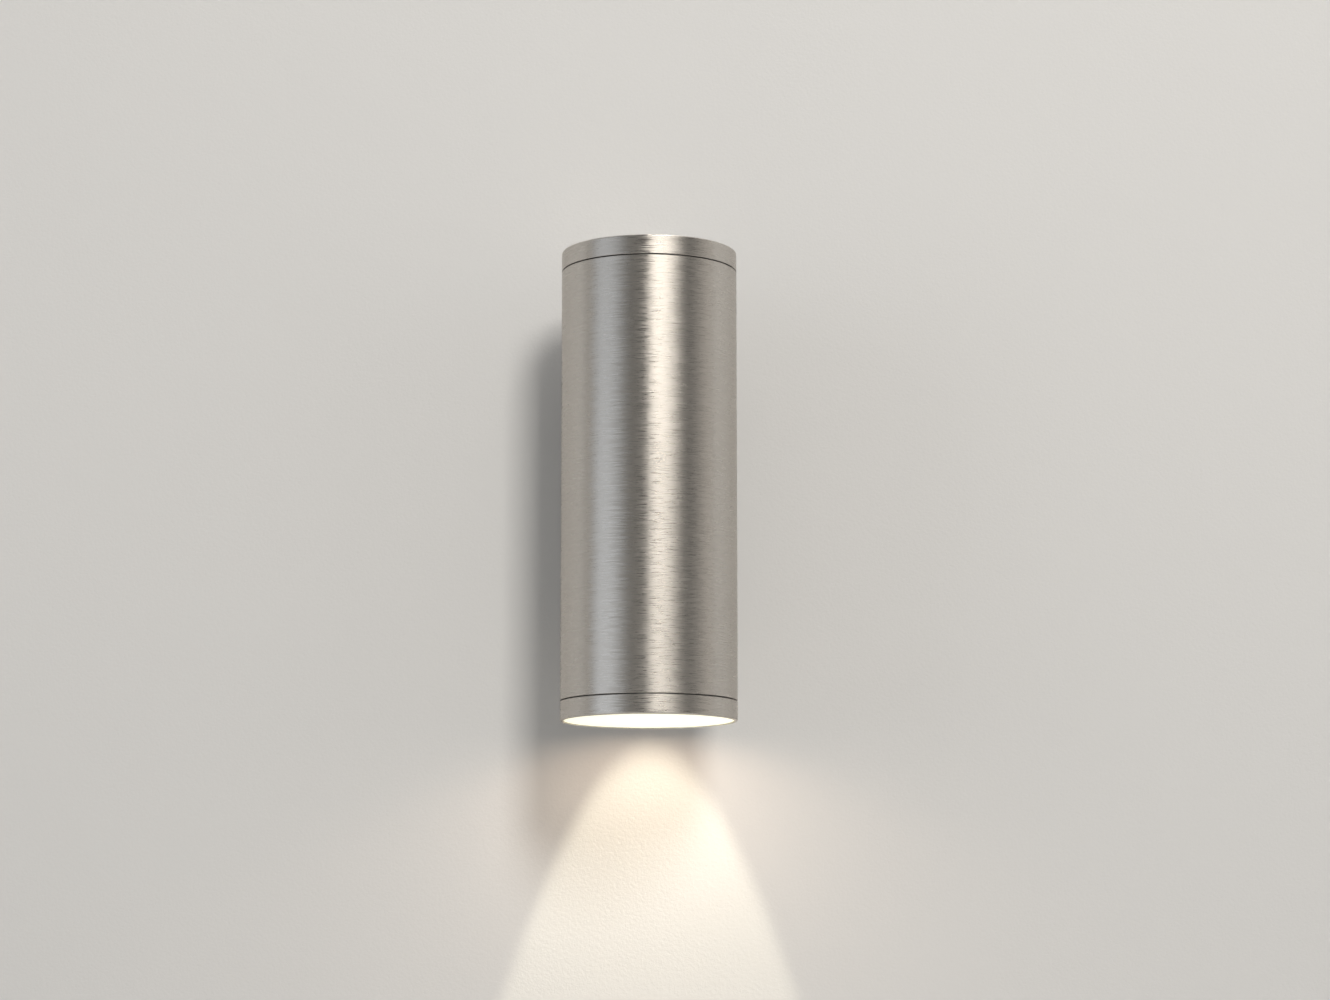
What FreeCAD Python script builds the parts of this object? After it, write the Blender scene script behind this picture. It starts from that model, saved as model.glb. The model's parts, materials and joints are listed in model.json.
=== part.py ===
import FreeCAD, Part
import math
import os
import re
import Sketcher

# A tube wall light. The origin is the middle of the face that lies on the wall, +Z is up and the
# light stands out along -Y. Millimetres. The tube's axis is vertical, axis_standoff from the wall.

SIZES = {
    # the tube
    "light_height": 204,
    "tube_radius": 38,
    "tube_wall": 1.5,
    "seam_gap": 0.4,
    "seam_depth": 0.8,
    "seam_chamfer": 0.2,
    "bond_gap": 0.05,
    # the top cap and its sealing ring
    "cap_height": 8.3,
    "cap_roof": 4,
    "cap_edge_round": 0.6,
    "plug_length": 9,
    "plug_wall": 3.5,
    "plug_clearance": 0.1,
    "plug_lead": 0.6,
    "cap_ring_section": 1.6,
    # the bezel, its thread and the collar that takes it
    "bezel_height": 8.3,
    "bezel_edge_round": 0.8,
    "rim_width": 1.3,
    "spigot_wall": 2,
    "collar_wall": 1.85,
    "thread_pitch": 1.5,
    "thread_turns": 4,
    "thread_mouth": 3,
    "thread_clearance": 0.1,
    # the face seal of the bezel
    "seal_width": 1.3,
    "seal_depth": 1.1,
    "seal_inset": 0.5,
    "seal_clearance": 0.05,
    # the opal lens
    "lens_thickness": 4,
    "lens_recess": 0.4,
    "lens_clearance": 0.1,
    "lens_chamfer": 0.3,
    "lens_seal_thickness": 0.6,
    "lens_seal_width": 3,
    # the lamp
    "lamp_air_gap": 9.4,
    "lamp_length": 52,
    "lamp_radius": 25,
    "lamp_rim_height": 14,
    "lamp_wall": 2,
    "lamp_neck_radius": 13,
    "lamp_base_step": 1.5,
    "lamp_base_height": 12,
    "lamp_base_wall": 2.5,
    "lamp_base_roof": 2.5,
    "lamp_front_thickness": 2,
    "lamp_front_recess": 0.8,
    "lamp_fit": 0.1,
    "board_thickness": 1.6,
    "board_inset": 12,
    "board_ledge": 2.5,
    "chip_size": 3.2,
    "chip_height": 0.8,
    "chip_circle_radius": 11,
    "driver_clearance": 1,
    "driver_thickness": 1.2,
    "driver_offset": 3,
    "pin_spacing": 10,
    "pin_neck_radius": 1.4,
    "pin_rest_gap": 0.3,
    "pin_head_radius": 2.4,
    "pin_head_length": 2.5,
    "pin_fit": 0.05,
    # the lampholder and its carrier
    "lamp_seat_gap": 0.3,
    "lock_angle": 20,
    "holder_height": 20,
    "holder_end": 4,
    "holder_width": 18,
    "holder_corner": 3,
    "holder_floor": 4,
    "holder_roof": 2,
    "holder_clearance": 0.3,
    "contact_width": 3,
    "contact_thickness": 0.5,
    "holder_screw_spacing": 24,
    "holder_counterbore": 8,
    "shelf_clearance": 2.95,
    "carrier_thickness": 1.5,
    "carrier_angle": 50,
    "carrier_margin": 6,
    "shelf_tab_width": 16,
    "shelf_tab_sink": 0.375,
    "earth_screw_offset": 15,
    "earth_screw_length": 4.5,
    "tag_thickness": 1,
    # the mounting box
    "box_width": 56,
    "box_height": 126,
    "box_wall": 3,
    "box_web": 3,
    "web_clearance": 2.5,
    "box_corner": 10,
    "wall_gasket_thickness": 2,
    "saddle_gasket_thickness": 1,
    "saddle_gasket_margin": 1.5,
    "lead_hole_height": 20,
    "saddle_screw_reach": 12,
    "grommet_clearance": 0.4,
    "grommet_wall": 1,
    "grommet_flange_width": 1.8,
    "grommet_flange_thickness": 1.5,
    # the wall plate
    "plate_thickness": 1.5,
    "plate_clearance": 0.5,
    "plate_end_clearance": 3,
    "plate_corner": 5,
    "slot_spacing": 60,
    "slot_length": 16,
    "slot_width": 5,
    "ear_height": 16,
    "ear_hole_depth": 9,
    "ear_margin": 5,
    "bush_bore": 5,
    "bush_radius": 8,
    "bush_flange_radius": 10.5,
    "bush_flange_thickness": 2,
    # the terminal block
    "terminal_end": 5,
    "terminal_partition": 0.5,
    "terminal_depth": 14,
    "terminal_height": 12,
    "terminal_end_gap": 3.5,
    "clamp_depth": 9,
    "clamp_radius": 2.65,
    "clamp_bore": 1.5,
    "clamp_inset": 0.5,
    "clamp_screw_spacing": 6,
    # leads and fasteners
    "lead_radius": 1.1,
    "lead_gap": 0.3,
    "lead_grip": 5,
    "lead_drop": 9,
    "lead_turn": 2,
    "lead_reach": 14,
    "lead_dip": 6,
    "earth_lead_reach": 10,
    "earth_lead_turn": 14,
    "screw_fit": 0.2,
    "small_screw_radius": 1.5,
    "small_head_radius": 2.75,
    "small_head_height": 2,
    "side_screw_radius": 2,
    "side_head_radius": 3.8,
    "side_head_height": 2.2,
    "side_screw_length": 9.8,
    "washer_radius": 4.3,
    "washer_thickness": 0.8,
    "saddle_head_radius": 3.5,
    "saddle_head_height": 2.4,
    "saddle_screw_length": 11.5,
    "nut_across_flats": 7,
    "nut_height": 3.2,
    "nut_seat_gap": 0.3,
    "clamp_screw_radius": 1.25,
    "socket_across_flats": 2.5,
    "socket_depth": 1.3,
    "slot_cut_width": 0.8,
    "slot_cut_depth": 0.9,
}

# Places and radii worked out from the sizes. A place ending in _z is a height.
PLACES = {
    "top_z": "light_height / 2",
    "bottom_z": "-light_height / 2",
    "cap_under_z": "top_z - cap_height",
    "tube_top_z": "cap_under_z - seam_gap",
    "bezel_top_z": "bottom_z + bezel_height",
    "tube_bottom_z": "bezel_top_z + seam_gap",
    "tube_bore": "tube_radius - tube_wall",
    "seam_radius": "tube_radius - seam_depth",
    # cap
    "plug_radius": "tube_bore - plug_clearance",
    "plug_bore": "plug_radius - plug_wall",
    "plug_end_z": "tube_top_z - plug_length",
    "ring_groove_radius": "tube_bore - cap_ring_section - 2 * bond_gap",
    "ring_groove_half": "cap_ring_section / 2 + 2 * bond_gap",
    "cap_ring_z": "tube_top_z - plug_length / 2",
    # thread: the collar's ridges sit in the bezel's grooves, and the form is a share of the pitch
    "thread_depth": "thread_pitch / 2",
    "thread_relief": "thread_pitch / 10",
    "collar_radius": "tube_bore - bond_gap",
    "thread_major": "collar_radius - collar_wall - thread_clearance",
    "thread_root": "thread_major - thread_depth",
    "groove_root_half": "0.15 * thread_pitch",
    "flank": "tan(30)",
    "ridge_root_half": "thread_pitch / 2 - groove_root_half",
    "thread_low_z": "tube_bottom_z + thread_mouth",
    "spigot_top_z": "thread_low_z + thread_turns * thread_pitch",
    "spigot_bore": "thread_root - spigot_wall",
    "relief_top_z": "thread_low_z - thread_pitch / 2",
    "male_start_z": "thread_low_z - 1.5 * thread_pitch",
    "female_start_z": "male_start_z + thread_pitch / 2",
    # bezel face seal and lens
    "seal_radius": "tube_bore - seal_inset",
    "seal_groove_inner": "seal_radius - seal_width / 2 - seal_clearance",
    "seal_groove_outer": "seal_radius + seal_width / 2 + seal_clearance",
    "seal_floor_z": "bezel_top_z - seal_depth",
    "lens_pocket_radius": "tube_radius - rim_width",
    "lens_radius": "lens_pocket_radius - lens_clearance",
    "lens_low_z": "bottom_z + lens_recess",
    "lens_high_z": "lens_low_z + lens_thickness",
    "lens_ledge_z": "lens_high_z + lens_seal_thickness",
    # lamp
    "lamp_face_z": "lens_ledge_z + lamp_air_gap",
    "lamp_top_z": "lamp_face_z + lamp_length",
    "lamp_neck_z": "lamp_top_z - lamp_base_height",
    "lamp_bore": "lamp_radius - lamp_wall",
    "lamp_base_radius": "lamp_neck_radius - lamp_base_step",
    "lamp_base_bore": "lamp_base_radius - lamp_base_wall",
    "driver_half_width": "lamp_base_bore - driver_clearance",
    "board_top_z": "lamp_face_z + board_inset",
    # lampholder and carrier
    "holder_face_z": "lamp_top_z + lamp_seat_gap",
    "holder_floor_z": "holder_face_z + holder_floor",
    "pin_head_z": "holder_floor_z + pin_rest_gap",
    "pin_top_z": "pin_head_z + pin_head_length",
    "shelf_under_z": "holder_face_z + holder_height",
    "holder_roof_z": "shelf_under_z - holder_roof",
    "shelf_top_z": "shelf_under_z + carrier_thickness",
    "contact_z": "pin_top_z + holder_clearance",
    "holder_seat_z": "holder_face_z + holder_counterbore",
    "holder_half_length": "holder_screw_spacing / 2 + holder_end",
    "carrier_outer": "tube_bore - bond_gap",
    "carrier_inner": "carrier_outer - carrier_thickness",
    "shelf_radius": "carrier_inner - shelf_clearance",
    "saddle_screw_low": "lead_hole_height - saddle_screw_reach",
    "saddle_screw_high": "lead_hole_height + saddle_screw_reach",
    "carrier_top_z": "saddle_screw_high + carrier_margin",
    # mounting box and saddle
    "saddle_radius": "tube_radius + saddle_gasket_thickness",
    "web_radius": "saddle_radius + box_web",
    "box_half_width": "box_width / 2",
    "cavity_half_width": "box_half_width - box_wall",
    "box_half_height": "box_height / 2",
    "cavity_half_height": "box_half_height - box_wall",
    "web_depth": "terminal_front + small_head_height + web_clearance",
    "axis_standoff": "web_depth + web_radius",
    # leads and their grommet
    "lead_spacing": "2 * lead_radius + lead_gap",
    "grommet_bore": "lead_spacing + lead_radius + grommet_clearance",
    "grommet_radius": "grommet_bore + grommet_wall",
    "grommet_flange_radius": "grommet_radius + grommet_flange_width",
    # wall plate and terminals
    "plate_half_width": "cavity_half_width - plate_clearance",
    "plate_half_height": "cavity_half_height - plate_end_clearance",
    "ear_inner": "plate_half_width - plate_thickness",
    "ear_depth": "ear_hole_depth + ear_margin",
    "terminal_front": "plate_thickness + terminal_depth",
    "terminal_middle": "cavity_half_height - terminal_end_gap - terminal_height / 2",
    "terminal_low_z": "terminal_middle - terminal_height / 2",
    "fixing_hole": "small_screw_radius + screw_fit / 2",
    "terminal_pitch": "2 * (clamp_radius + fixing_hole + terminal_partition)",
    "terminal_half_length": "terminal_pitch + terminal_end",
    "clamp_length": "terminal_height - 2 * clamp_inset",
}

# How much of the shorter run beside a corner a lead's bend may take.
BEND_SHARE = 0.45

NAME = re.compile(r"[a-z_]+")


def formula(text):
    """The sheet expression of a formula that is written with the names above."""

    def written_out(match):
        name = match.group(0)
        if name in SIZES:
            return "dims." + name
        if name in PLACES:
            return "(" + formula(PLACES[name]) + ")"
        return name

    return NAME.sub(written_out, str(text))


doc = FreeCAD.newDocument("tube_wall_light")
dims = doc.addObject("Spreadsheet::Sheet", "dims")
for row, (alias, number) in enumerate(SIZES.items(), 1):
    dims.set("A%d" % row, alias)
    dims.set("B%d" % row, str(number))
    dims.setAlias("B%d" % row, alias)
doc.recompute()


def value(text):
    """The number that a formula gives now."""
    result = dims.evalExpression(formula(text))
    return float(getattr(result, "Value", result))


pieces = []


def new_body(name, on_tube_axis):
    """An empty body. One on the tube's axis is drawn about its own Z axis."""
    body = doc.addObject("PartDesign::Body", name)
    body.Label = name
    if on_tube_axis:
        body.setExpression("Placement.Base.y", formula("-axis_standoff"))
    return body


def new_piece(name, on_tube_axis=False):
    """A body that is a sub-part: its label names its file."""
    piece = new_body(name, on_tube_axis)
    pieces.append(piece)
    return piece


def origin_plane(piece, role):
    return [feature for feature in piece.Origin.OriginFeatures if feature.Role == role][0]


def new_sketch(piece, role, offset):
    """An empty sketch on an origin plane, moved along the plane's normal by a formula."""
    sketch = piece.newObject("Sketcher::SketchObject", piece.Label + "_sketch")
    sketch.AttachmentSupport = [(origin_plane(piece, role), "")]
    sketch.MapMode = "FlatFace"
    sketch.setExpression("AttachmentOffset.Base.z", formula(offset))
    return sketch


def tie(sketch, kind, references, text):
    """A driving dimension that follows a formula."""
    index = sketch.addConstraint(Sketcher.Constraint(kind, *references, value(text)))
    name = "size_%d" % index
    sketch.renameConstraint(index, name)
    sketch.setExpression("Constraints." + name, formula(text))


def polygons(piece, role, loops, offset="0"):
    """A sketch of closed outlines with straight sides. Each corner is two formulas."""
    sketch = new_sketch(piece, role, offset)
    for corners in loops:
        first = sketch.GeometryCount
        count = len(corners)
        places = [FreeCAD.Vector(value(x), value(y), 0) for x, y in corners]
        for i in range(count):
            sketch.addGeometry(Part.LineSegment(places[i], places[(i + 1) % count]), False)
        for i in range(count):
            following = first + (i + 1) % count
            sketch.addConstraint(Sketcher.Constraint("Coincident", first + i, 2, following, 1))
        for i, (x, y) in enumerate(corners):
            tie(sketch, "DistanceX", (-1, 1, first + i, 1), x)
            tie(sketch, "DistanceY", (-1, 1, first + i, 1), y)
    return sketch


def circles(piece, role, rounds, offset="0"):
    """A sketch of circles, each given as x, y and radius formulas."""
    sketch = new_sketch(piece, role, offset)
    for x, y, radius in rounds:
        centre = FreeCAD.Vector(value(x), value(y), 0)
        circle = Part.Circle(centre, FreeCAD.Vector(0, 0, 1), value(radius))
        index = sketch.addGeometry(circle, False)
        tie(sketch, "DistanceX", (-1, 1, index, 3), x)
        tie(sketch, "DistanceY", (-1, 1, index, 3), y)
        tie(sketch, "Radius", (index,), radius)
    return sketch


def rectangle(x0, y0, x1, y1):
    return [(x0, y0), (x1, y0), (x1, y1), (x0, y1)]


def hexagon(x, y, across_flats):
    """A hexagon's corners about a place."""
    reach = "%s / 2 / cos(30)" % across_flats
    turns = [30 + 60 * corner for corner in range(6)]
    return [
        ("%s + %s * cos(%d)" % (x, reach, turn), "%s + %s * sin(%d)" % (y, reach, turn))
        for turn in turns
    ]


def volume(piece):
    doc.recompute()
    return piece.Shape.Volume if piece.Tip and not piece.Shape.isNull() else 0.0


def extrude(piece, sketch, length, cut=False, flip=False, both=False):
    """A pad or a pocket as long as a formula. A pad goes along the sketch's normal, a pocket
    against it, and flip turns either round. The volume has to change the right way."""
    before = volume(piece)
    feature = piece.newObject("PartDesign::Pocket" if cut else "PartDesign::Pad", "extrusion")
    feature.Profile = (sketch, [""])
    feature.setExpression("Length", formula(length))
    feature.Reversed = flip
    if both:
        feature.SideType = "Symmetric"
    checked_change(piece, before, cut)
    return feature


def checked_change(piece, before, cut):
    after = volume(piece)
    if (after >= before - 1e-6) if cut else (after <= before + 1e-6):
        raise RuntimeError("%s: a feature changes nothing" % piece.Label)


def revolve(piece, sketch, angle="360", cut=False):
    """A turned shape or a turned cut about the sketch's upright axis, centred on the sketch."""
    before = volume(piece)
    feature = piece.newObject("PartDesign::Groove" if cut else "PartDesign::Revolution", "turning")
    feature.Profile = (sketch, [""])
    feature.ReferenceAxis = (sketch, ["V_Axis"])
    feature.Midplane = angle != "360"
    feature.setExpression("Angle", formula(angle))
    checked_change(piece, before, cut)
    return feature


def ring(piece, inner, outer, low, high):
    """A turned ring, or a disc where inner is 0."""
    return revolve(piece, polygons(piece, "XZ_Plane", [rectangle(inner, low, outer, high)]))


def groove_thread(piece, corners, length):
    """A right-hand helical groove cut by a four-cornered outline."""
    sketch = polygons(piece, "XZ_Plane", [corners])
    before = volume(piece)
    thread = piece.newObject("PartDesign::SubtractiveHelix", "thread")
    thread.Profile = (sketch, [""])
    thread.ReferenceAxis = (sketch, ["V_Axis"])
    thread.Mode = "pitch-height-angle"
    thread.setExpression("Pitch", formula("thread_pitch"))
    thread.setExpression("Height", formula(length))
    thread.Angle = 0
    thread.LeftHanded = False
    checked_change(piece, before, True)


def round_edges(piece, radius, wanted, bevel=False):
    """A fillet or chamfer on the edges for which wanted(edge) is true."""
    doc.recompute()
    names = ["Edge%d" % (i + 1) for i, edge in enumerate(piece.Tip.Shape.Edges) if wanted(edge)]
    if not names:
        raise RuntimeError("%s: no edge to round" % piece.Label)
    kind = "PartDesign::Chamfer" if bevel else "PartDesign::Fillet"
    base = piece.Tip
    feature = piece.newObject(kind, "edges")
    feature.Base = (base, names)
    feature.setExpression("Size" if bevel else "Radius", formula(radius))
    doc.recompute()


def circle_edge(radius, height):
    """Picks the level round edges of a radius at a height."""
    wanted_radius, wanted_z = value(radius), value(height)

    def picks(edge):
        curve = edge.Curve
        if not isinstance(curve, Part.Circle) or edge.Length < math.pi * curve.Radius:
            return False
        same = abs(curve.Radius - wanted_radius) < 1e-4
        return same and abs(curve.Center.z - wanted_z) < 1e-4

    return picks


def straight_edges(axis, tests):
    """Picks straight edges along an axis (0, 1, 2) whose middle passes the tests."""

    def picks(edge):
        if not isinstance(edge.Curve, Part.Line):
            return False
        direction = edge.Vertexes[-1].Point - edge.Vertexes[0].Point
        middle = edge.CenterOfMass
        along = abs(direction[axis]) > 0.999 * direction.Length
        return along and all(test(middle) for test in tests)

    return picks


def at(axis, text):
    """Whether a point lies at plus or minus a formula's distance on an axis."""
    distance = abs(value(text))
    return lambda point: abs(abs(point[axis]) - distance) < 1e-4


def mirror(piece, features, role):
    """The same features again on the far side of an origin plane."""
    copies = piece.newObject("PartDesign::Mirrored", "mirror")
    copies.Originals = features
    copies.MirrorPlane = (origin_plane(piece, role), [""])
    piece.Tip = copies
    doc.recompute()


# ---- the tube -----------------------------------------------------------------------------------

def make_tube_body():
    tube = new_piece("tube_body", True)
    edge = "tube_radius - seam_chamfer"
    revolve(tube, polygons(tube, "XZ_Plane", [[
        ("tube_bore", "tube_bottom_z"),
        (edge, "tube_bottom_z"),
        ("tube_radius", "tube_bottom_z + seam_chamfer"),
        ("tube_radius", "tube_top_z - seam_chamfer"),
        (edge, "tube_top_z"),
        ("tube_bore", "tube_top_z"),
    ]]))
    pierce_for_saddle(tube)


def pierce_for_saddle(piece):
    """The screw and lead holes at the tube's back, which every layer of the saddle shares."""
    screw_hole = "side_screw_radius + screw_fit"
    holes = circles(piece, "XZ_Plane", [
        ("0", "saddle_screw_low", screw_hole),
        ("0", "saddle_screw_high", screw_hole),
        ("0", "lead_hole_height", "grommet_radius + bond_gap"),
    ])
    extrude(piece, holes, "web_radius + box_web", cut=True)


def make_top_cap():
    cap = new_piece("top_cap", True)
    revolve(cap, polygons(cap, "XZ_Plane", [[
        ("0", "top_z"),
        ("tube_radius", "top_z"),
        ("tube_radius", "cap_under_z + seam_chamfer"),
        ("tube_radius - seam_chamfer", "cap_under_z"),
        ("seam_radius", "cap_under_z"),
        ("seam_radius", "tube_top_z"),
        ("plug_radius", "tube_top_z"),
        ("plug_radius", "cap_ring_z + ring_groove_half"),
        ("ring_groove_radius", "cap_ring_z + ring_groove_half"),
        ("ring_groove_radius", "cap_ring_z - ring_groove_half"),
        ("plug_radius", "cap_ring_z - ring_groove_half"),
        ("plug_radius", "plug_end_z + plug_lead"),
        ("plug_radius - plug_lead", "plug_end_z"),
        ("plug_bore", "plug_end_z"),
        ("plug_bore", "top_z - cap_roof"),
        ("0", "top_z - cap_roof"),
    ]]))
    round_edges(cap, "cap_edge_round", circle_edge("tube_radius", "top_z"))

    seal = new_piece("cap_ring", True)
    middle = "ring_groove_radius + bond_gap + cap_ring_section / 2"
    revolve(seal, circles(seal, "XZ_Plane", [(middle, "cap_ring_z", "cap_ring_section / 2")]))


def make_thread_collar():
    collar = new_piece("thread_collar", True)
    bore = "thread_root + thread_clearance"
    deep = "thread_major + thread_clearance"
    mouth = deep + " + thread_relief"
    revolve(collar, polygons(collar, "XZ_Plane", [[
        (mouth, "tube_bottom_z"),
        ("collar_radius", "tube_bottom_z"),
        ("collar_radius", "spigot_top_z"),
        (bore, "spigot_top_z"),
        (bore, "thread_low_z"),
        (mouth, "thread_low_z"),
    ]]))
    inside = bore + " - thread_relief"
    inside_half = "(ridge_root_half + thread_relief * flank)"
    deep_half = "(ridge_root_half - thread_depth * flank)"
    groove_thread(collar, [
        (inside, "female_start_z - " + inside_half),
        (inside, "female_start_z + " + inside_half),
        (deep, "female_start_z + " + deep_half),
        (deep, "female_start_z - " + deep_half),
    ], "spigot_top_z - female_start_z + thread_pitch")


# ---- the bezel, its seal and the lens -----------------------------------------------------------

def make_bezel():
    bezel = new_piece("bezel", True)
    relief = "thread_root - thread_relief"
    revolve(bezel, polygons(bezel, "XZ_Plane", [[
        ("lens_pocket_radius", "bottom_z"),
        ("tube_radius", "bottom_z"),
        ("tube_radius", "bezel_top_z - seam_chamfer"),
        ("tube_radius - seam_chamfer", "bezel_top_z"),
        ("seal_groove_outer", "bezel_top_z"),
        ("seal_groove_outer", "seal_floor_z"),
        ("seal_groove_inner", "seal_floor_z"),
        ("seal_groove_inner", "bezel_top_z"),
        (relief, "bezel_top_z"),
        (relief, "relief_top_z"),
        ("thread_major", "relief_top_z"),
        ("thread_major", "spigot_top_z - thread_depth"),
        ("thread_root", "spigot_top_z"),
        ("spigot_bore", "spigot_top_z"),
        ("spigot_bore", "lens_ledge_z"),
        ("lens_pocket_radius", "lens_ledge_z"),
    ]]))
    round_edges(bezel, "bezel_edge_round", circle_edge("tube_radius", "bottom_z"))
    outer = "groove_root_half + (thread_depth + thread_relief) * flank"
    groove_thread(bezel, [
        ("thread_root", "male_start_z - groove_root_half"),
        ("thread_major + thread_relief", "male_start_z - (%s)" % outer),
        ("thread_major + thread_relief", "male_start_z + %s" % outer),
        ("thread_root", "male_start_z + groove_root_half"),
    ], "spigot_top_z - male_start_z + thread_pitch")

    seal = new_piece("bezel_seal", True)
    half = "seal_width / 2"
    ring(seal, "seal_radius - " + half, "seal_radius + " + half,
         "seal_floor_z + seal_clearance", "tube_bottom_z - seal_clearance")


def make_lens():
    lens = new_piece("lens", True)
    ring(lens, "0", "lens_radius", "lens_low_z", "lens_high_z")
    round_edges(lens, "lens_chamfer", circle_edge("lens_radius", "lens_low_z"), bevel=True)

    seal = new_piece("lens_seal", True)
    ring(seal, "lens_radius - lens_seal_width", "lens_radius", "lens_high_z", "lens_ledge_z")


# ---- the lamp -----------------------------------------------------------------------------------

def make_lamp():
    housing = new_piece("lamp_housing", True)
    revolve(housing, polygons(housing, "XZ_Plane", [[
        ("lamp_bore", "lamp_face_z"),
        ("lamp_radius", "lamp_face_z"),
        ("lamp_radius", "lamp_face_z + lamp_rim_height"),
        ("lamp_neck_radius", "lamp_neck_z"),
        ("lamp_neck_radius - lamp_wall", "lamp_neck_z"),
        ("lamp_bore - board_ledge", "board_top_z"),
        ("lamp_bore", "board_top_z"),
    ]]))

    base = new_piece("lamp_base", True)
    foot = "lamp_neck_z + lamp_wall"
    revolve(base, polygons(base, "XZ_Plane", [[
        ("lamp_base_bore", "lamp_neck_z"),
        ("lamp_neck_radius", "lamp_neck_z"),
        ("lamp_neck_radius", foot),
        ("lamp_base_radius", foot),
        ("lamp_base_radius", "lamp_top_z"),
        ("0", "lamp_top_z"),
        ("0", "lamp_top_z - lamp_base_roof"),
        ("lamp_base_bore", "lamp_top_z - lamp_base_roof"),
    ]]))
    extrude(base, pin_circles(base, "pin_neck_radius + pin_fit", "lamp_top_z"),
            "lamp_base_roof", cut=True)

    pins = new_piece("lamp_pins", True)
    extrude(pins, pin_circles(pins, "pin_neck_radius", "lamp_top_z - lamp_base_roof"),
            "pin_head_z - lamp_top_z + lamp_base_roof")
    extrude(pins, pin_circles(pins, "pin_head_radius", "pin_head_z"), "pin_head_length")

    front = new_piece("lamp_front", True)
    ring(front, "0", "lamp_bore - lamp_fit", "lamp_face_z + lamp_front_recess",
         "lamp_face_z + lamp_front_recess + lamp_front_thickness")

    board = new_piece("led_board", True)
    ring(board, "0", "lamp_bore - lamp_fit", "board_top_z - board_thickness", "board_top_z")

    chips = new_piece("led_chips", True)
    centres = [("0", "0")]
    for turn in range(0, 360, 60):
        centres.append(("chip_circle_radius * cos(%d)" % turn,
                        "chip_circle_radius * sin(%d)" % turn))
    half = "chip_size / 2"
    squares = [
        rectangle("%s - %s" % (x, half), "%s - %s" % (y, half),
                  "%s + %s" % (x, half), "%s + %s" % (y, half))
        for x, y in centres
    ]
    extrude(chips, polygons(chips, "XY_Plane", squares, "board_top_z - board_thickness"),
            "chip_height", flip=True)

    driver = new_piece("driver_board", True)
    section = rectangle("-driver_half_width", "driver_offset - driver_thickness / 2",
                        "driver_half_width", "driver_offset + driver_thickness / 2")
    extrude(driver, polygons(driver, "XY_Plane", [section], "board_top_z"),
            "lamp_top_z - lamp_base_roof - board_top_z")


def pin_circles(piece, radius, height):
    spots = [("pin_spacing / 2", "0", radius), ("-pin_spacing / 2", "0", radius)]
    return circles(piece, "XY_Plane", spots, height)


# ---- the lampholder and the bracket that carries it ---------------------------------------------

def make_lampholder():
    holder = new_piece("lampholder", True)
    block = rectangle("-holder_half_length", "-holder_width / 2",
                      "holder_half_length", "holder_width / 2")
    extrude(holder, polygons(holder, "XY_Plane", [block], "holder_face_z"), "holder_height")
    round_edges(holder, "holder_corner",
                straight_edges(2, [at(0, "holder_half_length"), at(1, "holder_width / 2")]))
    # keyhole slots: the neck passes along a narrow arc, and the head along a wide one above it
    sweep_slot(holder, "pin_neck_radius", "holder_face_z", "holder_floor_z")
    sweep_slot(holder, "pin_head_radius", "holder_floor_z", "holder_roof_z")
    # the round hole at the arc's end, where the head goes in
    x = "pin_spacing / 2 * cos(lock_angle)"
    y = "pin_spacing / 2 * sin(lock_angle)"
    entry = "pin_head_radius + holder_clearance"
    holes = circles(holder, "XY_Plane", [(x, "-" + y, entry), ("-" + x, y, entry)],
                    "holder_face_z")
    extrude(holder, holes, "holder_floor + holder_clearance", cut=True, flip=True)
    lead_holes = pin_circles(holder, "lead_radius + screw_fit", "shelf_under_z")
    extrude(holder, lead_holes, "holder_roof + holder_clearance", cut=True)
    extrude(holder, screw_circles(holder, "small_screw_radius + screw_fit", "holder_face_z"),
            "holder_height", cut=True, flip=True)
    extrude(holder, screw_circles(holder, "small_head_radius + screw_fit", "holder_face_z"),
            "holder_counterbore", cut=True, flip=True)

    screws = new_piece("holder_screws", True)
    extrude(screws, screw_circles(screws, "small_screw_radius", "holder_seat_z"),
            "shelf_top_z - holder_seat_z + carrier_thickness")
    extrude(screws, screw_circles(screws, "small_head_radius", "holder_seat_z"),
            "small_head_height", flip=True)
    half = "holder_screw_spacing / 2"
    slots = [
        rectangle("%s%s - slot_cut_width / 2" % (sign, half), "-small_head_radius",
                  "%s%s + slot_cut_width / 2" % (sign, half), "small_head_radius")
        for sign in ("", "-")
    ]
    slot_sketch = polygons(screws, "XY_Plane", slots, "holder_seat_z - small_head_height")
    extrude(screws, slot_sketch, "slot_cut_depth", cut=True, flip=True)


def sweep_slot(holder, pin_radius, low, high):
    """Two opposite arc slots, as wide as a pin and its clearance, over the locking turn."""
    reach = "%s + holder_clearance" % pin_radius
    run_out = "2 * asin((%s) / (pin_spacing / 2))" % reach
    inner = "pin_spacing / 2 - (%s)" % reach
    outer = "pin_spacing / 2 + %s" % reach
    for side in (0, 180):
        sketch = polygons(holder, "XZ_Plane", [rectangle(inner, low, outer, high)])
        turned = FreeCAD.Rotation(FreeCAD.Vector(0, 1, 0), 1)
        sketch.AttachmentOffset = FreeCAD.Placement(FreeCAD.Vector(), turned)
        sketch.setExpression("AttachmentOffset.Rotation.Angle",
                             formula("%d - lock_angle / 2" % side))
        revolve(holder, sketch, "lock_angle * 1 deg + " + run_out, cut=True)


def screw_circles(piece, radius, height):
    half = "holder_screw_spacing / 2"
    spots = [(half, "0", radius), ("-" + half, "0", radius)]
    return circles(piece, "XY_Plane", spots, height)


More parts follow.
